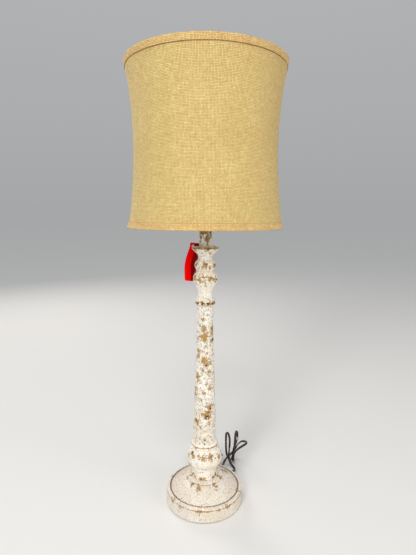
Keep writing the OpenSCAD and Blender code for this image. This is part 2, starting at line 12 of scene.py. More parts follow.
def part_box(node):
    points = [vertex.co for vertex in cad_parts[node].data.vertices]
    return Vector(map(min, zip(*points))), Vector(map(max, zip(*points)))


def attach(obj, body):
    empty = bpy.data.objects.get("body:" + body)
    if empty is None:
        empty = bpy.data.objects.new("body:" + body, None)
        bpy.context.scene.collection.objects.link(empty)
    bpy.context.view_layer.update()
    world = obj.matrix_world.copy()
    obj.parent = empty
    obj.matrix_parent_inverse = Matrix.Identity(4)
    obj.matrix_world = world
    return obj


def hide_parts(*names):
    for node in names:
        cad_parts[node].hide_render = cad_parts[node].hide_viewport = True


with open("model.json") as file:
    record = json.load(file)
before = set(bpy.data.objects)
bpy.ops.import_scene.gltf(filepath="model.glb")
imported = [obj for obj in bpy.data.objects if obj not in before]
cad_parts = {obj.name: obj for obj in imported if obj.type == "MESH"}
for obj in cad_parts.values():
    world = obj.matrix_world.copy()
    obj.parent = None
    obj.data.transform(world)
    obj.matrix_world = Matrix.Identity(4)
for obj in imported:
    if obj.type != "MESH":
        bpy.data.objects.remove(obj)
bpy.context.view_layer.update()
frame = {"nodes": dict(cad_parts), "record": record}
NODES = frame["nodes"]
BODY_OF = {n: b for b, members in frame["record"]["behaviour"]["bodies"].items() for n in members}
MM = 0.001


def placed(name, data):
    """A new object in the scene."""
    made = bpy.data.objects.new(name, data)
    bpy.context.scene.collection.objects.link(made)
    return made


# ---- camera

CAMERA_PLACE = (0.0052, -0.7838, 0.5854)
CAMERA_DOWN = 9.07  # degrees below level
CAMERA_ROLL = 0.31  # degrees
CAMERA_LENS = 27.08  # mm
CAMERA_SENSOR = 36  # mm, along the picture's long side


def make_camera():
    data = bpy.data.cameras.new("camera")
    data.lens = CAMERA_LENS
    data.sensor_width = CAMERA_SENSOR
    camera = placed("camera", data)
    tilt = Matrix.Rotation(radians(90 - CAMERA_DOWN), 4, "X")
    roll = Matrix.Rotation(radians(CAMERA_ROLL), 4, "Z")
    camera.matrix_world = Matrix.Translation(CAMERA_PLACE) @ tilt @ roll
    bpy.context.scene.camera = camera


make_camera()

# ---- mesh tools

SAME_CIRCLE = 0.02 * MM  # circles nearer than this are one
ON_AXIS = 0.05 * MM  # a circle smaller than this is a point on the axis
TURNED_POINTS = 20  # fewer points than this don't make a turned circle
ROUNDING = 0.25 * MM  # width of the bevel on a turned corner
TURNED_CORNER = radians(24)
WELD = 0.01 * MM  # vertices nearer than this are one
FLAT_ENOUGH = radians(1)
COPY_CORNER = radians(40)
BEVEL_FROM = radians(35)


def around(radius, angle, height):
    """The point at an angle round Z from the front, which is the -Y side."""
    return radius * sin(angle), -radius * cos(angle), height


def quads(rows, columns, wrap=True, first=0):
    """The faces of a grid of points, each row closed on itself if wrap."""
    return [(first + i * columns + k, first + i * columns + (k + 1) % columns,
             first + (i + 1) * columns + (k + 1) % columns, first + (i + 1) * columns + k)
            for i in range(rows - 1) for k in range(columns if wrap else columns - 1)]


def caps(rows, columns, first=0):
    """The faces that close a tube's first and last rows."""
    last = first + (rows - 1) * columns
    return [tuple(first + k for k in reversed(range(columns))), tuple(last + k for k in range(columns))]


def settle(mesh, tidy, corner):
    """Writes the edited faces to the mesh, normals outward, smooth apart from edges sharper than corner."""
    bmesh.ops.recalc_face_normals(tidy, faces=tidy.faces)
    tidy.to_mesh(mesh)
    tidy.free()
    if mesh.has_custom_normals:
        mesh.attributes.remove(mesh.attributes["custom_normal"])
    mesh.shade_smooth()
    mesh.set_sharp_from_angle(angle=corner)


def mesh_piece(name, points, faces, corner_degrees=35):
    mesh = bpy.data.meshes.new(name)
    mesh.from_pydata([tuple(p) for p in points], [], [tuple(f) for f in faces])
    tidy = bmesh.new()
    tidy.from_mesh(mesh)
    settle(mesh, tidy, radians(corner_degrees))
    return placed(name, mesh)


def thicken(piece, thickness, offset):
    made = piece.modifiers.new("thickness", "SOLIDIFY")
    made.thickness = thickness
    made.offset = offset


def add_to(body, material, piece):
    """The piece rides on the body, with the material."""
    piece.data.materials.append(material)
    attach(piece, body)
    return piece


def stand_for(piece, node, material, *more_nodes):
    """The piece stands for its node, on the node's body and with the material; the node itself is hidden."""
    add_to(BODY_OF[node], material, piece)
    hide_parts(node, *more_nodes)
    return piece


def rings_of(node):
    """The circles about Z that a turned node's vertices lie on, as (radius, height), and which are joined."""
    mesh = NODES[node].data
    co = np.array([v.co for v in mesh.vertices])
    rz = np.stack([np.hypot(co[:, 0], co[:, 1]), co[:, 2]], 1)
    keys = np.round(rz / SAME_CIRCLE).astype(int)
    rings, found, index = [], {}, np.zeros(len(rz), int)
    for i, key in enumerate(map(tuple, keys)):
        beside = ((key[0] + a, key[1] + b) for a in (0, 1, -1) for b in (0, 1, -1))
        near = next((found[k] for k in beside if k in found), None)
        if near is None:
            near = found[key] = len(rings)
            rings.append(rz[i])
        index[i] = near
    angles = np.round(np.degrees(np.arctan2(co[:, 1], co[:, 0]))).astype(int)
    count = [len(set(angles[index == k])) for k in range(len(rings))]
    kept = {k for k in range(len(rings)) if count[k] >= TURNED_POINTS or rings[k][0] < ON_AXIS}
    joined = {k: set() for k in kept}
    for edge in mesh.edges:
        a, b = (int(index[v]) for v in edge.vertices)
        if a != b and a in kept and b in kept:
            joined[a].add(b)
            joined[b].add(a)
    return [tuple(r) for r in rings], joined


def outline_of(node):
    """A turned node's outline, walked from circle to circle: (points, whether it closes on itself)."""
    rings, joined = rings_of(node)
    ends = [k for k in joined if len(joined[k]) == 1]
    start = ends[0] if ends else min(joined, key=lambda k: (rings[k][1], rings[k][0]))
    walk, before = [start], None
    while True:
        onward = [k for k in sorted(joined[walk[-1]], key=lambda k: -rings[k][0])
                  if k != before and k not in walk]
        if not onward:
            break
        before = walk[-1]
        walk.append(onward[0])
    return [rings[k] for k in walk], not ends


def turn_at(a, b, c):
    """The angle by which the way from a to b turns at b, towards c."""
    u, v = (b[0] - a[0], b[1] - a[1]), (c[0] - b[0], c[1] - b[1])
    return abs(math.atan2(u[0] * v[1] - u[1] * v[0], u[0] * v[0] + u[1] * v[1]))


def finer(points, closed, step):
    """The outline with a point at least every step, curves rounded and corners bevelled."""
    n = len(points)
    p = [np.array(q) for q in points]

    def at(i):
        return p[i % n] if closed else p[min(max(i, 0), n - 1)]

    sharp = [(closed or 0 < i < n - 1) and turn_at(at(i - 1), at(i), at(i + 1)) > TURNED_CORNER
             for i in range(n)]
    if not closed:
        sharp[0] = sharp[-1] = True
    out = []
    for i in range(n if closed else n - 1):
        a, b = p[i], p[(i + 1) % n]
        sharp_a, sharp_b = sharp[i], sharp[(i + 1) % n]
        long = float(np.linalg.norm(b - a))
        m0 = (b - a) if sharp_a else (b - at(i - 1)) / 2
        m1 = (b - a) if sharp_b else (at(i + 2) - a) / 2
        m0 = m0 / max(np.linalg.norm(m0), 1e-9) * long
        m1 = m1 / max(np.linalg.norm(m1), 1e-9) * long
        cut = min(ROUNDING / long, 0.3) if long > 0 else 0
        first = cut if sharp_a and (closed or i > 0) else 0.0
        last = 1 - cut if sharp_b and (closed or i < n - 2) else 1.0
        parts = max(1, round(long * (last - first) / step))
        for k in range(parts + (1 if last < 1 or (not closed and i == n - 2) else 0)):
            t = first + (last - first) * k / parts
            h00, h10 = 2 * t ** 3 - 3 * t ** 2 + 1, t ** 3 - 2 * t ** 2 + t
            h01, h11 = -2 * t ** 3 + 3 * t ** 2, t ** 3 - t ** 2
            out.append(h00 * a + h10 * m0 + h01 * b + h11 * m1)
    return out


def lathe(name, rows, closed, sides):
    """The outline turned about Z, as a grid of sides columns, each row in the outline's order."""
    poles = [] if closed else [i for i in (0, len(rows) - 1) if rows[i][0] < ON_AXIS]
    angles = np.arange(sides) * 2 * pi / sides
    verts, row_start = [], []
    for i, (r, z) in enumerate(rows):
        row_start.append(len(verts))
        if i in poles:
            verts.append((0, 0, z))
        else:
            verts += [around(r, a, z) for a in angles]

    def vertex(i, k):
        return row_start[i] + (0 if i in poles else k % sides)

    faces = []
    for i in range(len(rows) if closed else len(rows) - 1):
        j = (i + 1) % len(rows)
        for k in range(sides):
            corners = vertex(i, k), vertex(i, k + 1), vertex(j, k + 1), vertex(j, k)
            faces.append(tuple(dict.fromkeys(corners)))
    return mesh_piece(name, verts, faces)


def turned_again(node, step, sides):
    points, closed = outline_of(node)
    return lathe(node + "_turned", finer(points, closed, step), closed, sides)


def copy_of(node, bevel_mm=0.0, subdivide=0):
    """A CAD node's shape as a piece of its own: joined up, smooth, bevelled and finer."""
    mesh = NODES[node].data.copy()
    mesh.name = node + "_finished"
    tidy = bmesh.new()
    tidy.from_mesh(mesh)
    bmesh.ops.remove_doubles(tidy, verts=tidy.verts, dist=WELD)
    bmesh.ops.dissolve_limit(tidy, angle_limit=FLAT_ENOUGH, verts=tidy.verts, edges=tidy.edges)
    settle(mesh, tidy, COPY_CORNER)
    mesh.materials.clear()
    piece = placed(node + "_finished", mesh)
    if bevel_mm:
        rounded = piece.modifiers.new("edges", "BEVEL")
        rounded.width = bevel_mm * MM
        rounded.segments = 2
        rounded.limit_method = "ANGLE"
        rounded.angle_limit = BEVEL_FROM
    if subdivide:
        finer_mesh = piece.modifiers.new("finer", "SUBSURF")
        finer_mesh.levels = finer_mesh.render_levels = subdivide
    return piece


def spline(points, step):
    """A smooth curve through the points, with a point about every step."""
    p = [np.array(q, float) for q in points]
    out = []
    for i in range(len(p) - 1):
        a, b, c, d = p[max(i - 1, 0)], p[i], p[i + 1], p[min(i + 2, len(p) - 1)]
        parts = max(1, round(float(np.linalg.norm(c - b)) / step))
        for k in range(parts):
            t = k / parts
            out.append(0.5 * (2 * b + (c - a) * t + (2 * a - 5 * b + 4 * c - d) * t * t
                              + (3 * b - a - 3 * c + d) * t ** 3))
    out.append(p[-1])
    return np.array(out)


def unit(v):
    return v / np.maximum(np.linalg.norm(v, axis=-1, keepdims=True), 1e-12)


def tangents_of(path):
    ahead = np.vstack([path[1:], path[-1:]])
    behind = np.vstack([path[:1], path[:-1]])
    return unit(ahead - behind)


def sweep(name, path, sides_at, section, corner_degrees):
    """A section, as (across, up) points, swept along path; sides_at gives each point's across direction."""
    t = tangents_of(path)
    across = unit(sides_at - t * (sides_at * t).sum(1)[:, None])
    up = np.cross(t, across)
    section = np.array(section)
    verts = path[:, None] + section[None, :, :1] * across[:, None] + section[None, :, 1:] * up[:, None]
    size = len(path), len(section)
    return mesh_piece(name, verts.reshape(-1, 3), quads(*size) + caps(*size), corner_degrees)


def circle(radius, sides):
    return [(radius * cos(2 * pi * k / sides), radius * sin(2 * pi * k / sides))
            for k in range(sides)]


# ---- materials


def srgb(r, g, b):
    """The linear colour of an sRGB one, from 0 to 255 each."""
    return tuple((c / 255 / 12.92 if c < 10.3 else ((c / 255 + 0.055) / 1.055) ** 2.4)
                 for c in (r, g, b)) + (1.0,)


class Shader:
    """A material's or the sky's node tree, with short calls for the nodes used below."""

    def __init__(self, name, sky=False):
        self.owner = (bpy.data.worlds if sky else bpy.data.materials).new(name)
        self.owner.use_nodes = True
        self.tree = self.owner.node_tree
        self.surface = self.tree.nodes["Background" if sky else "Principled BSDF"]

    def put(self, value, socket):
        """Links another node's output to the socket, or sets a number or an sRGB colour on it."""
        if isinstance(value, bpy.types.NodeSocket):
            self.tree.links.new(value, socket)
        else:
            socket.default_value = srgb(*value) if isinstance(value, tuple) else value

    def node(self, kind, inputs=(), **settings):
        """A new shader node, with its settings and then its inputs by name or place."""
        made = self.tree.nodes.new("ShaderNode" + kind)
        for key, value in settings.items():
            setattr(made, key, value)
        for key, value in dict(inputs).items():
            self.put(value, made.inputs[key])
        return made

    def math(self, operation, a, b=0.0, clamp=False):
        return self.node("Math", {0: a, 1: b}, operation=operation, use_clamp=clamp).outputs[0]

    def times(self, a, b):
        return self.math("MULTIPLY", a, b)

    def plus(self, a, b):
        return self.math("ADD", a, b)

    def minus(self, a, b, clamp=False):
        return self.math("SUBTRACT", a, b, clamp)

    def over(self, a, b, clamp=False):
        return self.math("DIVIDE", a, b, clamp)

    def swing(self, noise, reach):
        """Noise about 0.5, made to swing about 0."""
        return self.times(self.minus(noise, 0.5), reach)

    def object_place(self):
        return self.node("TexCoord").outputs["Object"]

    def split(self, vector):
        return list(self.node("SeparateXYZ", {0: vector}).outputs)

    def joined(self, x, y, z=0.0):
        return self.node("CombineXYZ", {0: x, 1: y, 2: z}).outputs[0]

    def noise(self, place, scale, detail, roughness, distortion=0.0):
        inputs = {"Vector": place, "Scale": scale, "Detail": detail, "Roughness": roughness,
                  "Distortion": distortion}
        return self.node("TexNoise", inputs).outputs["Fac"]

    def step(self, value, low, high, shape="SMOOTHSTEP"):
        """0 below low, 1 above high."""
        inputs = {"Value": value, "From Min": low, "From Max": high}
        return self.node("MapRange", inputs, interpolation_type=shape).outputs["Result"]

    def remap(self, value, low, high):
        """Low where the value is 0, high where it is 1."""
        return self.node("MapRange", {"Value": value, "To Min": low, "To Max": high}).outputs["Result"]

    def mix(self, share, a, b):
        """Colour a where share is 0, and b where it is 1."""
        made = self.node("Mix", data_type="RGBA")
        for value, socket in zip((share, a, b), (s for s in made.inputs if s.enabled)):
            self.put(value, socket)
        return next(s for s in made.outputs if s.enabled)

    def attribute(self, name):
        return self.node("Attribute", attribute_name=name).outputs["Fac"]

    def uv(self, name):
        return self.node("UVMap", uv_map=name).outputs["UV"]

    def bump(self, height, depth, strength):
        """Height from 0 to 1, depth in metres."""
        made = self.node("Bump", {"Strength": strength, "Distance": depth, "Height": height})
        self.put(made.outputs["Normal"], self.surface.inputs["Normal"])

    def finish(self, colour, roughness, metallic=0.0, **others):
        self.put(colour, self.surface.inputs["Base Color"])
        self.put(roughness, self.surface.inputs["Roughness"])
        self.surface.inputs["Metallic"].default_value = metallic
        for key, value in others.items():
            self.surface.inputs[key.replace("_", " ")].default_value = value
        return self.owner


def paint():
    """Cream paint over ochre and dark brown, chipped and speckled, with grime and painted shade in the grooves
    and under overhangs, and an antique tint that is partly painted shade.
    """
    s = Shader("distressed_paint")
    place = s.object_place()
    broad, patch = s.noise(place, 34, 4, 0.55), s.noise(place, 150, 5, 0.66, 0.5)
    middle, fine = s.noise(place, 400, 4, 0.62), s.noise(place, 1000, 3, 0.6)
    tint = s.noise(s.joined(*[s.plus(c, 3.0) for c in s.split(place)]), 330, 4, 0.6)
    value = s.plus(s.attribute("wear"), s.plus(s.swing(patch, 1.7), s.swing(middle, 1.3)))
    chip = s.step(value, 0.5, 0.56)
    rim = s.step(value, 0.38, 0.5)
    dark = s.step(s.plus(s.attribute("dark"), s.swing(tint, 2.2)), 0.36, 0.56)
    gold = s.step(s.plus(s.attribute("gilt"), s.swing(patch, 2.4)), 0.45, 0.6)
    dirt_and_shade = s.step(s.plus(s.attribute("dirt_and_shade"), s.swing(tint, 2.0)), 0.4, 0.75)
    speckle = s.attribute("speckle")
    x, y, z = s.split(place)
    streaked = s.joined(x, y, s.times(z, 0.6))
    specks = s.step(s.plus(s.noise(streaked, 330, 3, 0.6), s.times(speckle, 0.09)), 0.6, 0.68)
    freckles = s.step(s.plus(fine, s.times(speckle, 0.07)), 0.62, 0.7)
    cream = s.mix(s.step(broad, 0.35, 0.65), (255, 252, 242), (246, 238, 218))
    # An antique tint that is partly painted shade, darkest on the base's dome towards its sides and back
    cream = s.mix(s.times(s.attribute("blush_and_shade"), s.remap(s.step(middle, 0.34, 0.66), 0.25, 1.0)),
                  cream, (210, 194, 176))
    cream = s.mix(s.times(specks, 0.5), cream, (132, 104, 74))
    cream = s.mix(s.times(freckles, 0.4), cream, (140, 108, 74))
    cream = s.mix(s.times(rim, s.times(s.step(tint, 0.42, 0.56), 0.9)), cream, (120, 82, 46))
    # Grime and painted shade in the grooves and under overhangs
    cream = s.mix(s.times(dirt_and_shade, 0.85), cream, (92, 62, 38))
    under = s.mix(dark, s.mix(tint, (204, 162, 84), (166, 122, 52)), (70, 44, 22))
    colour = s.mix(gold, cream, s.mix(fine, (204, 162, 88), (150, 104, 50)))
    colour = s.mix(chip, colour, under)
    height = s.minus(s.plus(s.times(middle, 0.5), s.times(fine, 0.2)),
                     s.plus(s.times(chip, 0.6), s.times(specks, 0.25)))
    s.bump(height, 0.7 * MM, 0.85)
    return s.finish(colour, s.remap(s.math("MAXIMUM", chip, s.times(fine, 0.4)), 0.34, 0.66))


def weave(name, light, deep, shaded_gap, pitch, crease_shade=None):
    """Plain-woven burlap for a UV map in metres: round threads with slubs, over and under, with painted shade
    in the gaps and down the threads' sides.
    """
    s = Shader(name)
    uv = s.uv("cloth")
    u, v = s.split(uv)[:2]
    wander_u, wander_v = s.noise(uv, 60, 2, 0.5), s.noise(s.joined(v, u, 3.7), 60, 2, 0.5)
    u = s.over(s.plus(u, s.times(wander_u, 1.3 * MM)), pitch)
    v = s.over(s.plus(v, s.times(wander_v, 1.3 * MM)), pitch)
    warp, weft = s.math("FLOOR", u), s.math("FLOOR", v)

    def thread(across, count, along, other, seed, sign):
        """One set of threads: its height over the cloth, and its tone from 0 to 1."""
        off = s.minus(s.times(s.math("FRACT", across), 2.0), 1.0)
        place = s.joined(s.times(count, 7.31), s.times(along, 0.1), seed)
        slub, tone = s.noise(place, 1.0, 3, 0.6), s.noise(place, 2.3, 3, 0.65)
        width = s.plus(0.42, s.times(slub, 0.7))
        profile = s.math("SQRT", s.minus(1.0, s.math("POWER", s.over(off, width), 2.0), clamp=True))
        wave = s.math("SINE", s.times(s.plus(along, other), pi))
        return s.times(profile, s.plus(0.6, s.times(wave, 0.3 * sign))), tone

    warp_height, warp_tone = thread(u, warp, v, warp, 1.0, 1)
    weft_height, weft_tone = thread(v, weft, u, weft, 9.0, -1)
    height = s.math("MAXIMUM", warp_height, weft_height)
    tone = s.mix(s.step(s.minus(warp_height, weft_height), -0.02, 0.02), weft_tone, warp_tone)
    fibres = s.noise(s.joined(u, v), 5.0, 3, 0.7)
    patches = s.noise(s.object_place(), 14, 4, 0.6)
    colour = s.mix(s.step(tone, 0.32, 0.68, "LINEAR"), deep, light)
    colour = s.mix(s.times(s.step(fibres, 0.4, 0.7), 0.3), colour, deep)
    colour = s.mix(s.times(s.step(patches, 0.42, 0.72), 0.22), colour, deep)
    # Painted shade: darker in the gaps between threads and down each thread's sides
    colour = s.mix(s.step(height, 0.12, 0.62), shaded_gap, colour)
    if crease_shade:
        # Painted shade along the trim's hem crease
        colour = s.mix(s.attribute("crease"), colour, crease_shade)
    s.bump(height, 0.7 * MM, 0.8)
    return s.finish(colour, 0.9, Sheen_Weight=0.1, Sheen_Roughness=0.5)


def neck_finish():
    """Worn brown stain, with cream paint at the neck's foot and in patches above."""
    s = Shader("worn_neck")
    place = s.object_place()
    x, y, z = s.split(place)
    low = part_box("neck")[0].z
    patch, fine = s.noise(place, 130, 5, 0.65, 0.4), s.noise(place, 700, 3, 0.6)
    up = s.over(s.minus(z, low), 26 * MM, clamp=True)
    value = s.minus(s.plus(s.swing(patch, 4.0), 0.7), s.times(up, 0.95))
    painted_share = s.step(value, 0.0, 0.2)
    streaks = s.noise(s.joined(s.times(x, 5), s.times(y, 5), s.times(z, 1.5)), 110, 4, 0.6)
    stain = s.mix(s.step(streaks, 0.35, 0.65), (170, 134, 82), (84, 58, 32))
    cream = s.mix(s.step(fine, 0.52, 0.66), (244, 238, 222), (168, 134, 92))
    s.bump(s.plus(s.times(painted_share, 0.6), s.times(fine, 0.3)), 0.4 * MM, 0.8)
    return s.finish(s.mix(painted_share, stain, cream), s.remap(fine, 0.4, 0.7))


def metal(name, colour, dull, roughness, scratch=0.25):
    """Plated metal with faint turned lines, smudges and dull patches."""
    s = Shader(name)
    place = s.object_place()
    smudge = s.noise(place, 120, 4, 0.6)
    lines = s.noise(s.joined(*[s.times(c, k) for c, k in zip(s.split(place), (1, 1, 14))]),
                    260, 2, 0.5)
    s.bump(lines, 0.03 * MM, scratch)
    gloss = s.plus(s.times(smudge, 0.6), s.times(lines, 0.4))
    return s.finish(s.mix(s.step(smudge, 0.4, 0.7), colour, dull),
                    s.remap(gloss, roughness - 0.1, roughness + 0.16), 1.0)


def moulding(name, colour, other, roughness, scale=400, depth=0.08):
    """Rubber, plastic or card: a slight grain, and a little variation in tone and gloss."""
    s = Shader(name)
    place = s.object_place()
    grain, cloud = s.noise(place, scale, 3, 0.6), s.noise(place, 55, 3, 0.5)
    s.bump(grain, depth * MM, 0.6)
    return s.finish(s.mix(cloud, colour, other), s.remap(grain, roughness - 0.08, roughness + 0.12))


def felt_finish():
    s = Shader("felt")
    place = s.object_place()
    fibres, cloud = s.noise(place, 1400, 4, 0.75, 1.5), s.noise(place, 160, 3, 0.5)
    colour = s.mix(fibres, (44, 60, 46), (78, 98, 80))
    s.bump(fibres, 0.4 * MM, 0.9)
    return s.finish(s.mix(s.times(cloud, 0.3), colour, (36, 48, 38)), 0.95, Sheen_Weight=0.3,
                    Sheen_Roughness=0.6)


def glass_finish():
    """Inside-frosted bulb glass: white, with a faint cloud and a soft gloss."""
    s = Shader("frosted_glass")
    cloud = s.noise(s.object_place(), 90, 3, 0.5)
    return s.finish(s.mix(cloud, (250, 249, 244), (236, 233, 224)), s.remap(cloud, 0.22, 0.34),
                    Subsurface_Weight=0.3, Subsurface_Scale=1.0, Subsurface_Radius=(4 * MM,) * 3)


def card_finish():
    """Glossy red card whose curled outer part is painted a darker red as shade, with a wavy edge between the
    two.
    """
    s = Shader("tag_card")
    u, v = s.split(s.uv("card"))[:2]
    wave = s.noise(s.joined(0.0, v), 26, 2, 0.5)
    edge = s.plus(u, s.swing(wave, 0.5))
    mottle = s.noise(s.object_place(), 700, 3, 0.6)
    red = s.mix(s.times(mottle, 0.25), (255, 0, 2), (232, 0, 1))
    # Painted shade on the card's curled part
    dark = s.mix(s.times(mottle, 0.3), (150, 0, 4), (112, 0, 3))
    s.bump(mottle, 0.03 * MM, 0.4)
    return s.finish(s.mix(s.step(edge, 0.36, 0.46), red, dark), s.remap(mottle, 0.5, 0.62),
                    Specular_IOR_Level=0.06)


PAINT = paint()
# Each weave's third colour is painted shade in the gaps between its threads; the trim's last colour is painted
# shade along its hem's crease
BURLAP = weave("burlap", (240, 220, 150), (206, 172, 104), (128, 98, 48), 2.1 * MM)
TRIM = weave("burlap_trim", (246, 220, 152), (208, 166, 100), (124, 90, 44), 2.1 * MM,
             (170, 126, 68))
LINING = moulding("lining", (240, 234, 218), (228, 220, 200), 0.6, 900, 0.05)
NECK = neck_finish()
BRASS = metal("brass", (214, 176, 104), (176, 136, 74), 0.3)
ZINC = metal("zinc_steel", (196, 198, 200), (150, 150, 150), 0.34)
IRON = metal("cast_weight", (86, 86, 90), (58, 54, 52), 0.62, 0.6)
FELT = felt_finish()
RUBBER = moulding("black_rubber", (24, 23, 24), (40, 38, 38), 0.5)
JACKET = moulding("cord_jacket", (38, 28, 31), (54, 40, 43), 0.36, 700, 0.05)
COPPER = metal("copper", (208, 138, 96), (160, 100, 66), 0.3)
CARD = moulding("insulating_card", (196, 178, 142), (172, 152, 116), 0.75, 800, 0.1)
DARK = moulding("dark_moulding", (52, 38, 28), (70, 52, 38), 0.3, 500, 0.05)
ALUMINIUM = metal("bulb_metal", (214, 214, 216), (178, 178, 178), 0.28)
GLASS = glass_finish()
LABEL = moulding("white_label", (244, 244, 242), (226, 226, 222), 0.45, 900, 0.04)
TAG = card_finish()
CLEAR = moulding("clear_plastic", (228, 230, 230), (210, 212, 214), 0.2, 500, 0.02)
THREAD = moulding("seam_thread", (166, 126, 70), (112, 78, 38), 0.8, 1500, 0.1)
PALE_THREAD = moulding("pale_thread", (226, 186, 118), (196, 152, 88), 0.8, 1500, 0.1)

# ---- cord

CORD_WIDTH = 5 * MM
CORD_THICK = 2.7 * MM
EXIT_TURN = radians(50)
EXIT_REACH = 91 * MM
EXIT_HEIGHT = 7 * MM
CORD_EXIT = (EXIT_REACH * cos(EXIT_TURN), EXIT_REACH * sin(EXIT_TURN), EXIT_HEIGHT)
ROUTE_MM = [
    (63.5, 75.6, 6.6), (67.5, 82, 4.6), (68.5, 90, 3), (66.5, 97, 2.8), (62, 103.5, 4.6), (58, 109, 11),
    (56, 112, 23), (56.8, 112.5, 38), (57.7, 112.5, 55), (57, 116.6, 65.6), (54.1, 126.6, 70.3),
    (51.3, 136.7, 65.6), (50.4, 141, 55), (50.4, 141.3, 38), (50.8, 141, 22), (52.5, 137.5, 10),
    (56.5, 130, 4.2), (61, 121, 6.4), (64.5, 114.5, 17), (66.5, 113, 34), (69, 113, 49), (70, 113.8, 61),
    (71, 118.8, 70), (73.3, 128, 73.2), (75.8, 137.8, 69), (77.6, 143, 58), (76.5, 144, 43), (73, 144.3, 30),
    (70.5, 144, 18), (69, 140, 8), (68, 131.5, 3.4), (67, 120, 3.6), (65.5, 110.8, 11), (65.8, 107.5, 23),
    (69.5, 107, 33.5), (76, 107, 41.5), (84.5, 107.5, 47.6), (92.3, 110.8, 50.8), (97.4, 118.5, 49.8),
    (98, 128, 47), (93.8, 135.6, 44.6), (86.5, 138.5, 42.2), (79.5, 137, 37), (73, 135, 28), (67, 132, 20),
    (60, 128, 15), (53, 122.5, 12), (47, 115, 8), (42, 105, 4.2), (34, 95, 2.7), (23, 86, 2.6),
    (9, 80.5, 2.6),
]
COIL_CENTRE_MM = (-2, 113)
COIL_TURNS = 6.25
COIL_OUTER_MM = 33.4
COIL_PITCH_MM = 2.8
COIL_LAYERS_MM = (2.6, 7.9)
END_ROUTE_MM = [
    (-33.4, 125, 9.2), (-27.5, 132.5, 12), (-18, 133.7, 14.8), (-7, 130.4, 15.8), (1, 128.4, 15.8),
]
PLUG_MM = (1, 128.4, 15.8)
PLUG_TURN = radians(-14)
PATH_STEP_MM = 1.6  # between the points of the lead's path
WIDTH_EVENED = 9 * MM  # the length of lead over which its width's direction is evened out
LABEL_HALF_MM = 4.5  # half the label's length along the lead


def coil_points():
    """Clockwise from the coil's near side: in along the lower layer, then out along the upper one."""
    per_turn = 20
    half = COIL_TURNS / 2
    low, high = COIL_LAYERS_MM
    points = []
    for k in range(int(COIL_TURNS * per_turn) + 1):
        t = k / per_turn
        radius = COIL_OUTER_MM - COIL_PITCH_MM * min(t, COIL_TURNS - t)
        rise = min(max((t - half + 0.2) / 0.4, 0), 1)
        angle = -pi / 2 - 2 * pi * t
        points.append((COIL_CENTRE_MM[0] + radius * cos(angle),
                       COIL_CENTRE_MM[1] + radius * sin(angle),
                       low + (high - low) * rise * rise * (3 - 2 * rise)))
    return points


def width_directions(path):
    """The flat lead bends about its thin side, so its width follows the bend's axis, evened out along it."""
    t = tangents_of(path)
    bend = np.cross(np.vstack([t[:1], t[:-1]]), np.vstack([t[1:], t[-1:]]))
    along = np.concatenate([[0], np.cumsum(np.linalg.norm(np.diff(path, axis=0), axis=1))])
    for i in range(1, len(bend)):
        if bend[i] @ bend[i - 1] < 0:
            bend[i] = -bend[i]
    out = np.zeros_like(path)
    for i in range(len(path)):
        near = np.abs(along - along[i]) < 3 * WIDTH_EVENED
        weight = np.exp(-((along[near] - along[i]) / WIDTH_EVENED) ** 2)
        out[i] = (bend[near] * weight[:, None]).sum(0)
    return unit(out)


def twin_section():
    """Two round cores side by side in one jacket, with a shallow groove between them."""
    r, half = CORD_THICK / 2, (CORD_WIDTH - CORD_THICK) / 2
    waist = 0.62 * r
    right = [(half + r * cos(a), r * sin(a)) for a in np.radians([-110, -75, -40, 0, 40, 75, 110])]
    left = [(-x, -y) for x, y in right]
    return right + [(0, waist)] + left + [(0, -waist)]


def make_cord():
    points = [tuple(c / MM for c in CORD_EXIT)] + ROUTE_MM + coil_points() + END_ROUTE_MM
    path = spline(points, PATH_STEP_MM) * MM
    lead = sweep("mains_lead", path, width_directions(path), twin_section(), 60)
    stand_for(lead, "cord", JACKET, "cord_coil", "cord_end")
    return lead, path


def loft(name, sections, place):
    """Rounded-box sections (x, half width, half height, roundness) joined along x, then put in place."""
    sides = 40
    verts = []
    for x, half_w, half_h, power in sections:
        for c, s in circle(1, sides):
            verts.append(place @ Vector((x, half_w * math.copysign(abs(c) ** (2 / power), c),
                                         half_h * math.copysign(abs(s) ** (2 / power), s))))
    size = len(sections), sides
    return mesh_piece(name, verts, quads(*size) + caps(*size), 45)


def make_plug():
    """A moulded plug: a ribbed neck, a flat grip with finger grooves, and a rounded face."""
    place = Matrix.Translation(Vector(PLUG_MM) * MM) @ Matrix.Rotation(PLUG_TURN, 4, "Z")
    rows = [(0, 2.6, 1.8, 2.2), (0.3, 3.1, 2.3, 2.2)]
    for k in range(3):
        x = 0.8 + 2.2 * k
        wide = 3.4 + 0.9 * k
        rows += [(x, wide, 3 + 0.5 * k, 2.4), (x + 1.1, wide + 0.2, 3.1 + 0.5 * k, 2.4),
                 (x + 1.4, wide - 0.5, 2.7 + 0.5 * k, 2.4), (x + 1.9, wide - 0.4, 2.8 + 0.5 * k, 2.4)]
    rows += [(7.6, 7.6, 4.4, 2.6), (9.5, 9.6, 4.9, 2.8), (11, 10.3, 5, 3)]
    for k in range(3):
        x = 12 + 2.2 * k
        rows += [(x, 10.4, 5, 3), (x + 0.5, 9.8, 4.5, 3), (x + 1.1, 9.8, 4.5, 3), (x + 1.6, 10.4, 5, 3)]
    rows += [(19.4, 10.5, 5, 3), (22.6, 10.5, 5, 3), (23.5, 10.2, 4.7, 3), (24, 9.6, 4.1, 3)]
    plug = loft("plug_moulding", [(x * MM, w * MM, h * MM, p) for x, w, h, p in rows], place)
    return stand_for(plug, "plug_body", JACKET)


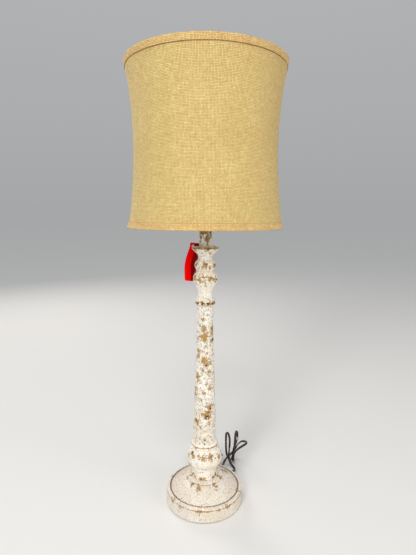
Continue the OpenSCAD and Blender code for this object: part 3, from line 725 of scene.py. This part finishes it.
def make_label(path):
    """A blank white label folded round the lead, its two leaves stuck together as a short flag."""
    low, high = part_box("cord_label")
    middle = int(np.argmin(np.linalg.norm(path - np.array((low + high) / 2), axis=1)))
    reach = int(LABEL_HALF_MM / PATH_STEP_MM)
    held = slice(middle - reach, middle + reach + 1)
    half_w, half_t, wall = CORD_WIDTH / 2 + 0.25 * MM, CORD_THICK / 2 + 0.2 * MM, 0.2 * MM
    fold, flag, leaf, mouth = 0.5 * MM, 2.4 * MM, 0.15 * MM, 0.4 * MM
    section = [(half_w, -half_t), (half_w + fold, -mouth), (half_w + flag, -leaf), (half_w + flag, leaf),
               (half_w + fold, mouth), (half_w, half_t), (0, half_t + wall), (-half_w, half_t),
               (-half_w - wall, 0), (-half_w, -half_t), (0, -half_t - wall)]
    flag_piece = sweep("label_flag", path[held], width_directions(path)[held], section, 40)
    return stand_for(flag_piece, "cord_label", LABEL)


def make_tie():
    """A paper-covered wire tie: a flat loop round the coil's turns, its ends twisted together on top."""
    low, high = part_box("coil_tie")
    middle = (low + high) / 2
    inset, bottom, corner = 0.3 * MM, 0.4 * MM, 1.6 * MM
    right, top = (high.x - low.x) / 2 - inset - corner, high.z - inset - corner
    loop = []
    for cx, cz, start in ((right, top, 0), (-right, top, 90), (-right, bottom + corner, 180),
                          (right, bottom + corner, 270)):
        for a in np.radians(range(start, start + 91, 15)):
            loop.append((middle.x + cx + corner * cos(a), middle.y, cz + corner * sin(a)))
    path = np.array(loop + loop[:1])
    flat = [(x * MM, z * MM) for x, z in (
        (1.6, -0.25), (1.6, 0.25), (0.4, 0.35), (-0.4, 0.35), (-1.6, 0.25), (-1.6, -0.25), (-0.4, -0.35),
        (0.4, -0.35))]
    band = sweep("tie_band", path, np.tile([0.0, 1.0, 0.0], (len(path), 1)), flat, 40)
    pieces = [stand_for(band, "coil_tie", LABEL)]
    steps = np.linspace(0, 1, 28)
    for turn in (0, pi):
        twist = steps * 5 * pi + turn
        strand = np.stack([middle.x - 2 * MM + 11 * MM * steps, middle.y + 0.6 * MM * np.cos(twist),
                           top + corner + 0.9 * MM + 0.6 * MM * np.sin(twist) + 1.5 * MM * steps], 1)
        side = np.stack([0 * steps, -np.sin(twist), np.cos(twist)], 1)
        end = sweep(f"tie_end_{len(pieces)}", strand, side, circle(0.45 * MM, 8), 60)
        pieces.append(add_to("lamp", LABEL, end))
    return pieces


lead, lead_path = make_cord()
plug = make_plug()
blades = stand_for(copy_of("plug_blades", 0.25), "plug_blades", ZINC)
label = make_label(lead_path)
tie = make_tie()

# ---- turned and painted column

# Chips in the paint on the front, as (height in mm, degrees to the right of the front, size in mm)
OCHRE_CHIPS = {
    "shaft": [(381, -14, 3), (365, -12, 5), (366, 50, 5), (352, 52, 6), (339, 52, 6), (347, -4, 8),
        (320, -48, 5), (315, 17, 3), (299, -5, 6), (294, 10, 8), (309, -48, 5), (278, 24, 6), (281, -13, 3),
        (271, -45, 6), (263, -45, 5), (241, -58, 6), (230, -60, 5), (246, 35, 4), (209, 28, 7),
        (196, 17, 6), (192, -5, 5), (187, 22, 5), (176, -44, 7), (157, -78, 4), (254, 10, 3), (330, 4, 3),
        (172, 20, 3), (222, -20, 4), (236, -5, 3), (166, -20, 3)],
    "vase_turning": [(461, -62, 6), (459, -8, 9), (463, -34, 6), (462, 28, 7), (460, 62, 7), (453, 2, 6),
        (452, -50, 4)],
    "ball_turning": [(486, -55, 6), (486, 2, 6), (483, -12, 4), (485, 56, 6), (483, 24, 4)],
    "astragal_ring": [(414, -60, 4), (413, -20, 4), (414, 26, 5), (415, 66, 4)],
    "bulb_turning": [(104, -43, 6), (108, -21, 5), (105.5, -5, 7), (106, 21, 7), (100, 60, 7),
        (109, -56, 5), (101, -72, 5), (56.5, -46, 4), (56.2, -14, 4), (56.2, -2, 5), (56.8, 43, 5),
        (59.5, 62, 4)],
    "collar_ring": [(121, -40, 4), (122, 20, 3), (127, 58, 3)],
    "candle_cup": [(516, -50, 5), (516, 10, 6), (516, 48, 5), (508, -20, 3), (509, 34, 4)],
    "base": [(49, -15, 6), (49, 32, 6), (49, -39, 3), (52.8, -70, 4), (52.8, 69, 4), (24.6, -53, 6),
        (24.6, -39, 6), (24.6, -8, 6), (24.6, 22, 4), (24.6, 36, 6), (24.6, 72, 7)],
}
DARK_CHIPS = {
    "shaft": [(139, 3, 3), (130, 3, 3), (158, -80, 4), (196, 22, 4), (188, 12, 5), (361, 55, 4),
        (340, 60, 5), (292, 14, 3), (205, 30, 4), (178, -50, 4), (266, -50, 3), (184, 4, 3)],
    "vase_turning": [(463, -58, 4), (464, 30, 4), (459, 66, 5), (464, -12, 3)],
    "ball_turning": [(487, -58, 4), (488, 6, 3), (487, 60, 4)],
    "astragal_ring": [(413, k, 4) for k in range(-80, 90, 32)],
    "bulb_turning": [(56.4, -12, 3), (56.8, 40, 4), (60, 60, 4), (60, -66, 4), (71, -8, 2), (110, -52, 3),
        (105, 28, 3)],
    "collar_ring": [(120, 64, 3)],
    "candle_cup": [(516, 14, 3), (517, -54, 3)],
    "base": [(49.4, -36, 2), (52.8, 62, 3), (24.6, 40, 3)],
}
# Each painted piece's step along its outline in mm and its sides; then how worn it is all round, how
# speckled, and how deep its chips are
PAINTED = {"base": (1.3, 300, 0.06, 0.2, 0.6), "bulb_turning": (0.9, 200, 0.12, 0.45, 0.56),
           "collar_ring": (0.7, 180, 0.14, 0.6, 0.46), "shaft": (1.1, 150, 0.25, 1.0, 0.46),
           "astragal_ring": (0.6, 150, 0.22, 0.7, 0.46), "vase_turning": (0.8, 150, 0.16, 0.6, 0.46),
           "ball_turning": (0.7, 150, 0.18, 0.6, 0.46), "candle_cup": (0.7, 170, 0.18, 0.6, 0.46)}


def radius_and_height(place):
    return np.hypot(place[:, 0], place[:, 1]), place[:, 2]


def spots_at(place, spots):
    """From 0 to 1: how near each place is to a spot's middle."""
    angle = np.arctan2(place[:, 0], -place[:, 1])
    radius, height = radius_and_height(place)
    out = np.zeros(len(place))
    for z, degrees, size in spots:
        turn = (angle - radians(degrees) + pi) % (2 * pi) - pi
        away = ((height - z * MM) ** 2 + (radius * turn) ** 2) / (size * MM) ** 2
        out = np.maximum(out, np.exp(-away))
    return out


def spots_behind(spots, seed):
    """As many spots again on the sides and the back, up to 4 mm and 95 degrees from the middle there."""
    rng = np.random.default_rng(seed)
    return [(z + rng.uniform(-4, 4), 180 + rng.uniform(-95, 95), size * rng.uniform(0.7, 1.2))
            for z, _, size in spots]


def lines_at(place, lines):
    """How near each place is to one of the turned lines, up to the line's strength."""
    radius, height = radius_and_height(place)
    out = np.zeros(len(place))
    for r, z, half, strength in lines:
        away = ((radius - r * MM) ** 2 + (height - z * MM) ** 2) / (half * MM) ** 2
        out = np.maximum(out, strength * np.exp(-away))
    return out


# Worn gold, and dark lines of grime and painted shade in the grooves and under overhangs: each line's (radius,
# height, half width) on the outline in mm, and its strength
GILT_LINES = {"base": [(75.8, 24.6, 1.5, 0.75)], "collar_ring": [(26.4, 123.4, 1.1, 1.3)],
              "candle_cup": [(25.9, 517, 1.7, 1)], "vase_turning": [(23.2, 459, 4.5, 0.62)],
              "ball_turning": [(20.2, 485, 3.5, 0.42)],
              "bulb_turning": [(31.8, 104, 4.5, 0.42), (26.2, 56, 2, 0.35)],
              "astragal_ring": [(17.4, 413, 2, 0.6)]}
DIRT_AND_SHADE_LINES = {"base": [(69.4, 28.9, 1.9, 1.25), (35.9, 51.3, 1.1, 0.85), (27, 54.9, 1.2, 0.5)],
              "bulb_turning": [(22.6, 74.6, 1.2, 0.45), (25.8, 55, 0.8, 0.5)],
              "astragal_ring": [(17.4, 412.6, 1.2, 0.75)], "candle_cup": [(17.8, 507.3, 0.7, 0.5)]}


ANTIQUED = 0.1  # how far the column's cream is toned down
# The base is toned down more than the column, and the dome most at its sides and back: partly antique tint,
# partly painted shade
BASE_TONED_AND_SHADED = 0.75
DOME_TONED_AND_SHADED = 0.68, 0.5  # at the dome's front, and how much more at its back
DOME_FROM, DOME_TO, DOME_FOOT = 36 * MM, 70 * MM, 28 * MM


def antiqued_and_shaded(node, place):
    """How far the cream is toned down: partly an antique tint, partly painted shade that darkens the whole base
    and most the dome's sides and back.
    """
    if node != "base":
        return np.full(len(place), ANTIQUED)
    radius, height = radius_and_height(place)
    round_the_side = np.clip(0.5 + 0.75 * place[:, 1] / radius, 0, 1)
    on_dome = (radius < DOME_TO) & (radius > DOME_FROM) & (height > DOME_FOOT)
    return np.where(on_dome, DOME_TONED_AND_SHADED[0] + DOME_TONED_AND_SHADED[1] * round_the_side, BASE_TONED_AND_SHADED)


def at_points(mesh, name, values):
    mesh.attributes.new(name, "FLOAT", "POINT").data.foreach_set("value", np.float32(values))


def painted(node, seed):
    step, sides, level, speckle, depth = PAINTED[node]
    piece = turned_again(node, step * MM, sides)
    place = np.array([v.co for v in piece.data.vertices])
    ochre = OCHRE_CHIPS[node] + spots_behind(OCHRE_CHIPS[node], seed)
    dark = DARK_CHIPS[node] + spots_behind(DARK_CHIPS[node], seed + 1)
    near_dark = spots_at(place, dark)
    values = {"wear": level + depth * np.maximum(spots_at(place, ochre), near_dark),
              "dark": 0.7 * near_dark, "speckle": np.full(len(place), speckle),
              "blush_and_shade": antiqued_and_shaded(node, place),
              "gilt": lines_at(place, GILT_LINES.get(node, [])),
              "dirt_and_shade": lines_at(place, DIRT_AND_SHADE_LINES.get(node, []))}
    for name, value in values.items():
        at_points(piece.data, name, value)
    stand_for(piece, node, PAINT)


for count, node in enumerate(PAINTED, 1):
    painted(node, 10 * count + 1)

# ---- metal, socket and bulb

for node, material, step, sides in (
        ("neck", NECK, 1.2, 96), ("check_ring", BRASS, 0.4, 96), ("socket_cap", BRASS, 0.8, 96),
        ("screw_shell", BRASS, 1.5, 72), ("centre_contact", BRASS, 0.6, 48), ("bulb_cap", ALUMINIUM, 0.5, 96),
        ("bulb_contact", ZINC, 0.4, 48), ("bulb_glass", GLASS, 1.5, 96), ("shade_hub", BRASS, 0.4, 72),
        ("finial", BRASS, 0.5, 72), ("base_weight", IRON, 3, 120), ("lower_washer", ZINC, 1, 72),
        ("felt_pad", FELT, 3, 160)):
    stand_for(turned_again(node, step * MM, sides), node, material)

for node, material, *finish in (
        ("left_sleeve", BRASS), ("right_sleeve", BRASS), ("socket_shell", BRASS), ("socket_insulator", CARD),
        ("socket_body", DARK, 0.3), ("terminal_screws", BRASS, 0.1), ("switch_stem", BRASS, 0.2),
        ("switch_knob", DARK, 0.3), ("harp_saddle", BRASS, 0.3), ("harp_wire", BRASS, 0, 1),
        ("harp_stud", BRASS, 0.2), ("spider_arms", BRASS), ("top_ring", BRASS), ("bottom_ring", BRASS),
        ("cord_bushing", RUBBER), ("threaded_pipe", ZINC), ("lower_nut", BRASS, 0.3), ("inner_cord", JACKET),
        ("inner_wires", COPPER), ("tag_loop", CLEAR)):
    stand_for(copy_of(node, *finish), node, material)

# ---- shade


def shade_outline():
    """The skin's outer outline from its bottom edge to its top edge, from the CAD skin's own rings."""
    outer = {}
    for r, z in outline_of("shade_skin")[0]:
        key = round(z, 4)
        outer[key] = max(outer.get(key, 0), r)
    return [(r, z) for z, r in sorted(outer.items())]


SKIN = shade_outline()
SHADE_LOW, SHADE_HIGH = SKIN[0][1], SKIN[-1][1]
SKIN_THICK = 1.1 * MM
LINING_SETBACK = 0.3 * MM  # below each edge of the skin
LINING_GAP = 0.15 * MM
SEAM_LIFT = 0.55 * MM  # the overlap's face, over the skin's
SEAM_HALF = 6.5 * MM
CLOTH_THICK = 0.5 * MM  # the lining and the overlap
KINKS_EVENED = 7 * MM  # how far along the outline, both ways
BAND_LIFT = 0.9 * MM  # the trim's face, over the skin's
BAND_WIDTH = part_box("top_band")[1].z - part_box("top_band")[0].z
FOLD = 1.3 * MM  # radius of the trim's two folds
FOLD_REACH = 5.8 * MM  # from the skin in over the wire ring
# The creased rows from each trim's hem are painted darker, as shade along the hem
CREASED = 0.1  # the share of a trim's rows, from its hem, that is creased
SIDES = 360  # round the shade
STITCHES = 230  # round each hem
STITCH_RADIUS = 0.6 * MM
STITCH_STEPS, STITCH_SIDES = 6, 6


def radius_at(z):
    """The skin's radius at a height."""
    return float(np.interp(z, [p[1] for p in SKIN], [p[0] for p in SKIN]))


def slack(angle, z):
    """The cloth's slight unevenness over its lining, under half a millimetre."""
    return (0.16 * sin(5 * angle + 40 * z) + 0.12 * sin(11 * angle - 55 * z + 1.3)
            + 0.08 * sin(23 * angle + 20 * z + 0.4)) * MM


def cloth_tube(name, node, material, rows, sides=SIDES, thickness=0.0, sway=1.0, creased=False, start=0.0,
               span=2 * pi):
    """Cloth wrapped round Z through rows of (radius, height), with a UV map in metres on it."""
    whole = span == 2 * pi
    columns = sides if whole else sides + 1
    angles = start + np.arange(columns) * span / sides
    verts = [around(r + sway * slack(a, z), a, z) for r, z in rows for a in angles]
    mesh = bpy.data.meshes.new(name)
    mesh.from_pydata(verts, [], quads(len(rows), columns, whole))
    along = np.concatenate([[0], np.cumsum([math.dist(*pair) for pair in zip(rows, rows[1:])])])
    mean = sum(r for r, _ in rows) / len(rows)
    flat = []
    for i in range(len(rows) - 1):
        for k in range(sides):
            for di, dk in ((0, 0), (0, 1), (1, 1), (1, 0)):
                flat += [(start + (k + dk) * span / sides) * mean, along[i + di]]
    mesh.uv_layers.new(name="cloth").data.foreach_set("uv", flat)
    # Rows near the hem carry the painted crease shade
    if creased:
        shares = [max(0.0, 1 - i / (len(rows) - 1) / CREASED) for i in range(len(rows))]
        at_points(mesh, "crease", np.repeat(shares, columns))
    mesh.shade_smooth()
    piece = placed(name, mesh)
    if thickness:
        thicken(piece, thickness, -1)
    return stand_for(piece, node, material)


def smooth_rows(low, high, count, lift=0.0):
    """Rows along the skin's outline with its joints' slight kinks evened out."""
    rows = []
    for z in np.linspace(low, high, count):
        near = [z]
        if z - KINKS_EVENED >= SHADE_LOW and z + KINKS_EVENED <= SHADE_HIGH:
            near = np.linspace(z - KINKS_EVENED, z + KINKS_EVENED, 9)
        rows.append((sum(radius_at(q) for q in near) / len(near) + lift, float(z)))
    return rows


def make_shade():
    skin = cloth_tube("shade_cloth", "shade_skin", BURLAP, smooth_rows(SHADE_LOW, SHADE_HIGH, 110),
                      thickness=SKIN_THICK)
    rows = smooth_rows(SHADE_LOW + LINING_SETBACK, SHADE_HIGH - LINING_SETBACK, 60, -SKIN_THICK - LINING_GAP)
    lining = cloth_tube("shade_lining", "shade_liner", LINING, rows, 240, CLOTH_THICK)
    span = 2 * SEAM_HALF / radius_at((SHADE_LOW + SHADE_HIGH) / 2)
    rows = smooth_rows(SHADE_LOW + BAND_WIDTH, SHADE_HIGH - BAND_WIDTH, 80, SEAM_LIFT)
    seam = cloth_tube("seam_overlap", "shade_seam", BURLAP, rows, 14, CLOTH_THICK,
                      start=pi - span / 2, span=span)
    return skin, lining, seam


def band_rows(edge, rise):
    """A trim's outline: a turned-under hem, up the outside, over the wire ring and down inside."""
    hem = edge - rise * BAND_WIDTH
    outer = radius_at(edge - rise * BAND_LIFT)
    inner = outer - FOLD_REACH
    rows = [(radius_at(hem) + 0.15 * MM, hem + rise * 0.9 * MM), (radius_at(hem) + 0.2 * MM, hem),
            (radius_at(hem + rise * 0.4 * MM) + BAND_LIFT * 0.8, hem + rise * 0.1 * MM)]
    for z in hem + rise * BAND_WIDTH * np.linspace(0.1, 0.86, 9):
        rows.append((radius_at(z) + BAND_LIFT, z))
    for a in np.radians((25, 50, 75, 90)):
        rows.append((outer + BAND_LIFT - FOLD + FOLD * cos(a), edge - rise * (FOLD - FOLD * sin(a))))
    rows.append(((outer + inner) / 2, edge))
    for a in np.radians((90, 60, 30, 0)):
        rows.append((inner + FOLD - FOLD * sin(a), edge - rise * (FOLD - FOLD * sin(a))))
    return rows + [(inner, edge - rise * 4.2 * MM), (inner + 0.1 * MM, edge - rise * 5.6 * MM)]


def make_trim(name, node, rise):
    low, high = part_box(node)
    rows = band_rows(high.z if rise > 0 else low.z, rise)
    return cloth_tube(name, node, TRIM, rows, sway=0.5, creased=True)


def make_stitches(name, node, rise, thread):
    """Running stitches that hold a trim's hem, in the crease under its edge."""
    low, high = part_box(node)
    z = (low.z if rise > 0 else high.z) - rise * 0.35 * MM
    radius = radius_at(z) + 0.5 * MM
    verts, faces = [], []
    for k in range(STITCHES):
        a0, a1 = 2 * pi * (k + 0.06) / STITCHES, 2 * pi * (k + 0.94) / STITCHES
        size = STITCH_STEPS + 1, STITCH_SIDES
        faces += quads(*size, first=len(verts)) + caps(*size, first=len(verts))
        for i in range(STITCH_STEPS + 1):
            t = i / STITCH_STEPS
            thick = 0.25 + 0.75 * sin(pi * t) ** 0.5 if 0 < t < 1 else 0.25
            dip = 0.3 * MM * (1 - sin(pi * t))
            for x, y in circle(STITCH_RADIUS, STITCH_SIDES):
                verts.append(around(radius + x * thick - dip, a0 + (a1 - a0) * t, z + y * thick))
    return add_to("shade", thread, mesh_piece(name, verts, faces, 60))


def make_fray():
    """Loose jute fibres that stand up from the top trim's fold."""
    rng = np.random.default_rng(5)
    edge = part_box("top_band")[1]
    steps = np.linspace(0, 1, 10)[:, None]
    for k, (degrees, long) in enumerate(((7, 5.2), (4, 3.2), (-96, 4), (61, 3), (150, 4.5), (-140, 3.5))):
        foot = np.array(around(edge.x - 3 * MM, radians(degrees), edge.z - 0.4 * MM))
        lean = np.array([rng.uniform(-0.5, 0.5), rng.uniform(-0.5, 0.5), 1.0])
        curl = np.array([rng.uniform(-1, 1), rng.uniform(-1, 1), -0.4])
        path = foot + long * MM * (steps * lean + 0.5 * steps ** 2 * curl)
        sides_at = np.tile([1.0, 0.0, 0.0], (len(steps), 1))
        fibre = sweep(f"loose_fibre_{k + 1}", path, sides_at, circle(0.16 * MM, 6), 60)
        add_to("shade", THREAD, fibre)


skin, lining, seam = make_shade()
trims = [make_trim("top_trim", "top_band", 1), make_trim("bottom_trim", "bottom_band", -1)]
# The top hem's thread is darker than the bottom's pale one: with the crease, it is partly painted shade under
# the top trim's edge
stitches = [make_stitches("top_stitches", "top_band", 1, THREAD),
            make_stitches("bottom_stitches", "bottom_band", -1, PALE_THREAD)]
make_fray()

# ---- hanging tag

TAG_CURL = 20.4 * MM  # radius
TAG_WIDE = radians(80) * TAG_CURL
TAG_HEIGHT = 75 * MM
TAG_CORNER = 2.5 * MM
TAG_THICK = 0.5 * MM
TAG_COLUMNS, TAG_ROWS = 44, 110
TAG_LEAN = radians(8.5)
TAG_FOOT = (-0.040, 0.0368, 0.4516)
# Each hole's place round the curl and up the card, and its radius
TAG_HOLES = [(radians(64) * TAG_CURL, 71 * MM, 2.3 * MM),
             (radians(17.2) * TAG_CURL, 69.2 * MM, 1.8 * MM)]
TAG_BOW = 4.6 * MM  # how far the near edge swells sideways, halfway up to TAG_BOW_TOP
TAG_BOW_TOP = 66.5 * MM  # the card is straight above this, where its holes are


def settled(x, y):
    """The point, moved onto the card's rounded corner or a hole's edge if it lies beyond one."""
    cx = min(max(x, TAG_CORNER), TAG_WIDE - TAG_CORNER)
    cy = min(max(y, TAG_CORNER), TAG_HEIGHT - TAG_CORNER)
    away = hypot(x - cx, y - cy)
    if away > TAG_CORNER:
        x, y = cx + (x - cx) * TAG_CORNER / away, cy + (y - cy) * TAG_CORNER / away
    for hole_x, hole_y, radius in TAG_HOLES:
        away = hypot(x - hole_x, y - hole_y)
        if 1e-9 < away < radius:
            x, y = hole_x + (x - hole_x) * radius / away, hole_y + (y - hole_y) * radius / away
    return x, y


def make_tag():
    """A curled card with round corners and two punched holes, its top against the column."""
    tidy = bmesh.new()
    for i in range(TAG_ROWS + 1):
        for j in range(TAG_COLUMNS + 1):
            tidy.verts.new((*settled(TAG_WIDE * j / TAG_COLUMNS, TAG_HEIGHT * i / TAG_ROWS), 0))
    tidy.verts.ensure_lookup_table()
    for face in quads(TAG_ROWS + 1, TAG_COLUMNS + 1, wrap=False):
        i, j = divmod(face[0], TAG_COLUMNS + 1)
        middle = ((j + 0.5) * TAG_WIDE / TAG_COLUMNS, (i + 0.5) * TAG_HEIGHT / TAG_ROWS)
        if all(math.dist(middle, hole[:2]) >= hole[2] * 0.98 for hole in TAG_HOLES):
            tidy.faces.new([tidy.verts[k] for k in face])
    bmesh.ops.dissolve_degenerate(tidy, dist=WELD, edges=tidy.edges)
    bmesh.ops.delete(tidy, geom=[v for v in tidy.verts if not v.link_faces], context="VERTS")
    mesh = bpy.data.meshes.new("tag_sheet")
    tidy.to_mesh(mesh)
    tidy.free()
    uv = mesh.uv_layers.new(name="card")
    flat = [(v.co.x / TAG_WIDE, v.co.y) for v in mesh.vertices]
    uv.data.foreach_set("uv", [c for loop in mesh.loops for c in flat[loop.vertex_index]])
    turn = (Matrix.Translation(TAG_FOOT) @ Matrix.Rotation(TAG_LEAN, 4, "Y")
            @ Matrix.Rotation(-pi / 2, 4, "Z"))
    for v in mesh.vertices:
        a = v.co.x / TAG_CURL
        up = min(v.co.y / TAG_BOW_TOP, 1)
        bow = TAG_BOW * max(sin(pi * up), 0) ** 1.2 * (1 - 0.6 * v.co.x / TAG_WIDE)
        v.co = turn @ Vector((TAG_CURL * cos(a), TAG_CURL * sin(a) - bow, v.co.y))
    mesh.shade_smooth()
    piece = placed("tag_sheet", mesh)
    thicken(piece, TAG_THICK, 0)
    stand_for(piece, "hang_tag", TAG)


make_tag()

# ---- floor and light


FLOOR = 12.0  # metres from its middle to its edge
# Each light's name, place, target, diameter in metres, power in watts and colour
LIGHTS = (("key", (-0.9, -1.9, 1.5), (0, 0, 0.45), 0.7, 23.5, (1.0, 0.98, 0.96)),
          ("overhead", (-0.2, -1.1, 2.3), (0, 0, 0.2), 0.6, 9, (1.0, 0.98, 0.97)),
          ("fill", (1.8, -1.3, 1.0), (0, 0, 0.4), 1.4, 14, (1.0, 0.92, 0.84)),
          ("rim", (-1.2, 1.8, 1.6), (0, 0, 0.5), 1.2, 16, (1.0, 0.93, 0.86)))
SKY_COLOUR = (0.82, 0.83, 0.85, 1)
# The sky's strength, from To Min where the view is level to To Max where its direction is From Max high
SKY = {"From Max": 0.57, "To Min": 0.465, "To Max": 0.565}


def make_floor():
    mesh = bpy.data.meshes.new("floor")
    mesh.from_pydata([(-FLOOR, -FLOOR, 0), (FLOOR, -FLOOR, 0), (FLOOR, FLOOR, 0), (-FLOOR, FLOOR, 0)], [],
                     [(0, 1, 2, 3)])
    mesh.materials.append(Shader("floor").finish((236, 236, 234), 0.85))
    placed("floor", mesh)


def make_lights():
    for name, place, target, size, power, colour in LIGHTS:
        data = bpy.data.lights.new(name, "AREA")
        data.shape = "DISK"
        data.size = size
        data.energy = power
        data.color = colour
        light = placed(name, data)
        light.location = place
        light.rotation_euler = (Vector(target) - Vector(place)).to_track_quat("-Z", "Y").to_euler()


def make_sky():
    s = Shader("studio", sky=True)
    bpy.context.scene.world = s.owner
    up = s.split(s.node("TexCoord").outputs["Generated"])[2]
    s.surface.inputs["Color"].default_value = SKY_COLOUR
    s.put(s.node("MapRange", {"Value": up, **SKY}).outputs["Result"], s.surface.inputs["Strength"])


make_floor()
make_lights()
make_sky()
bpy.context.scene.view_settings.view_transform = "Standard"
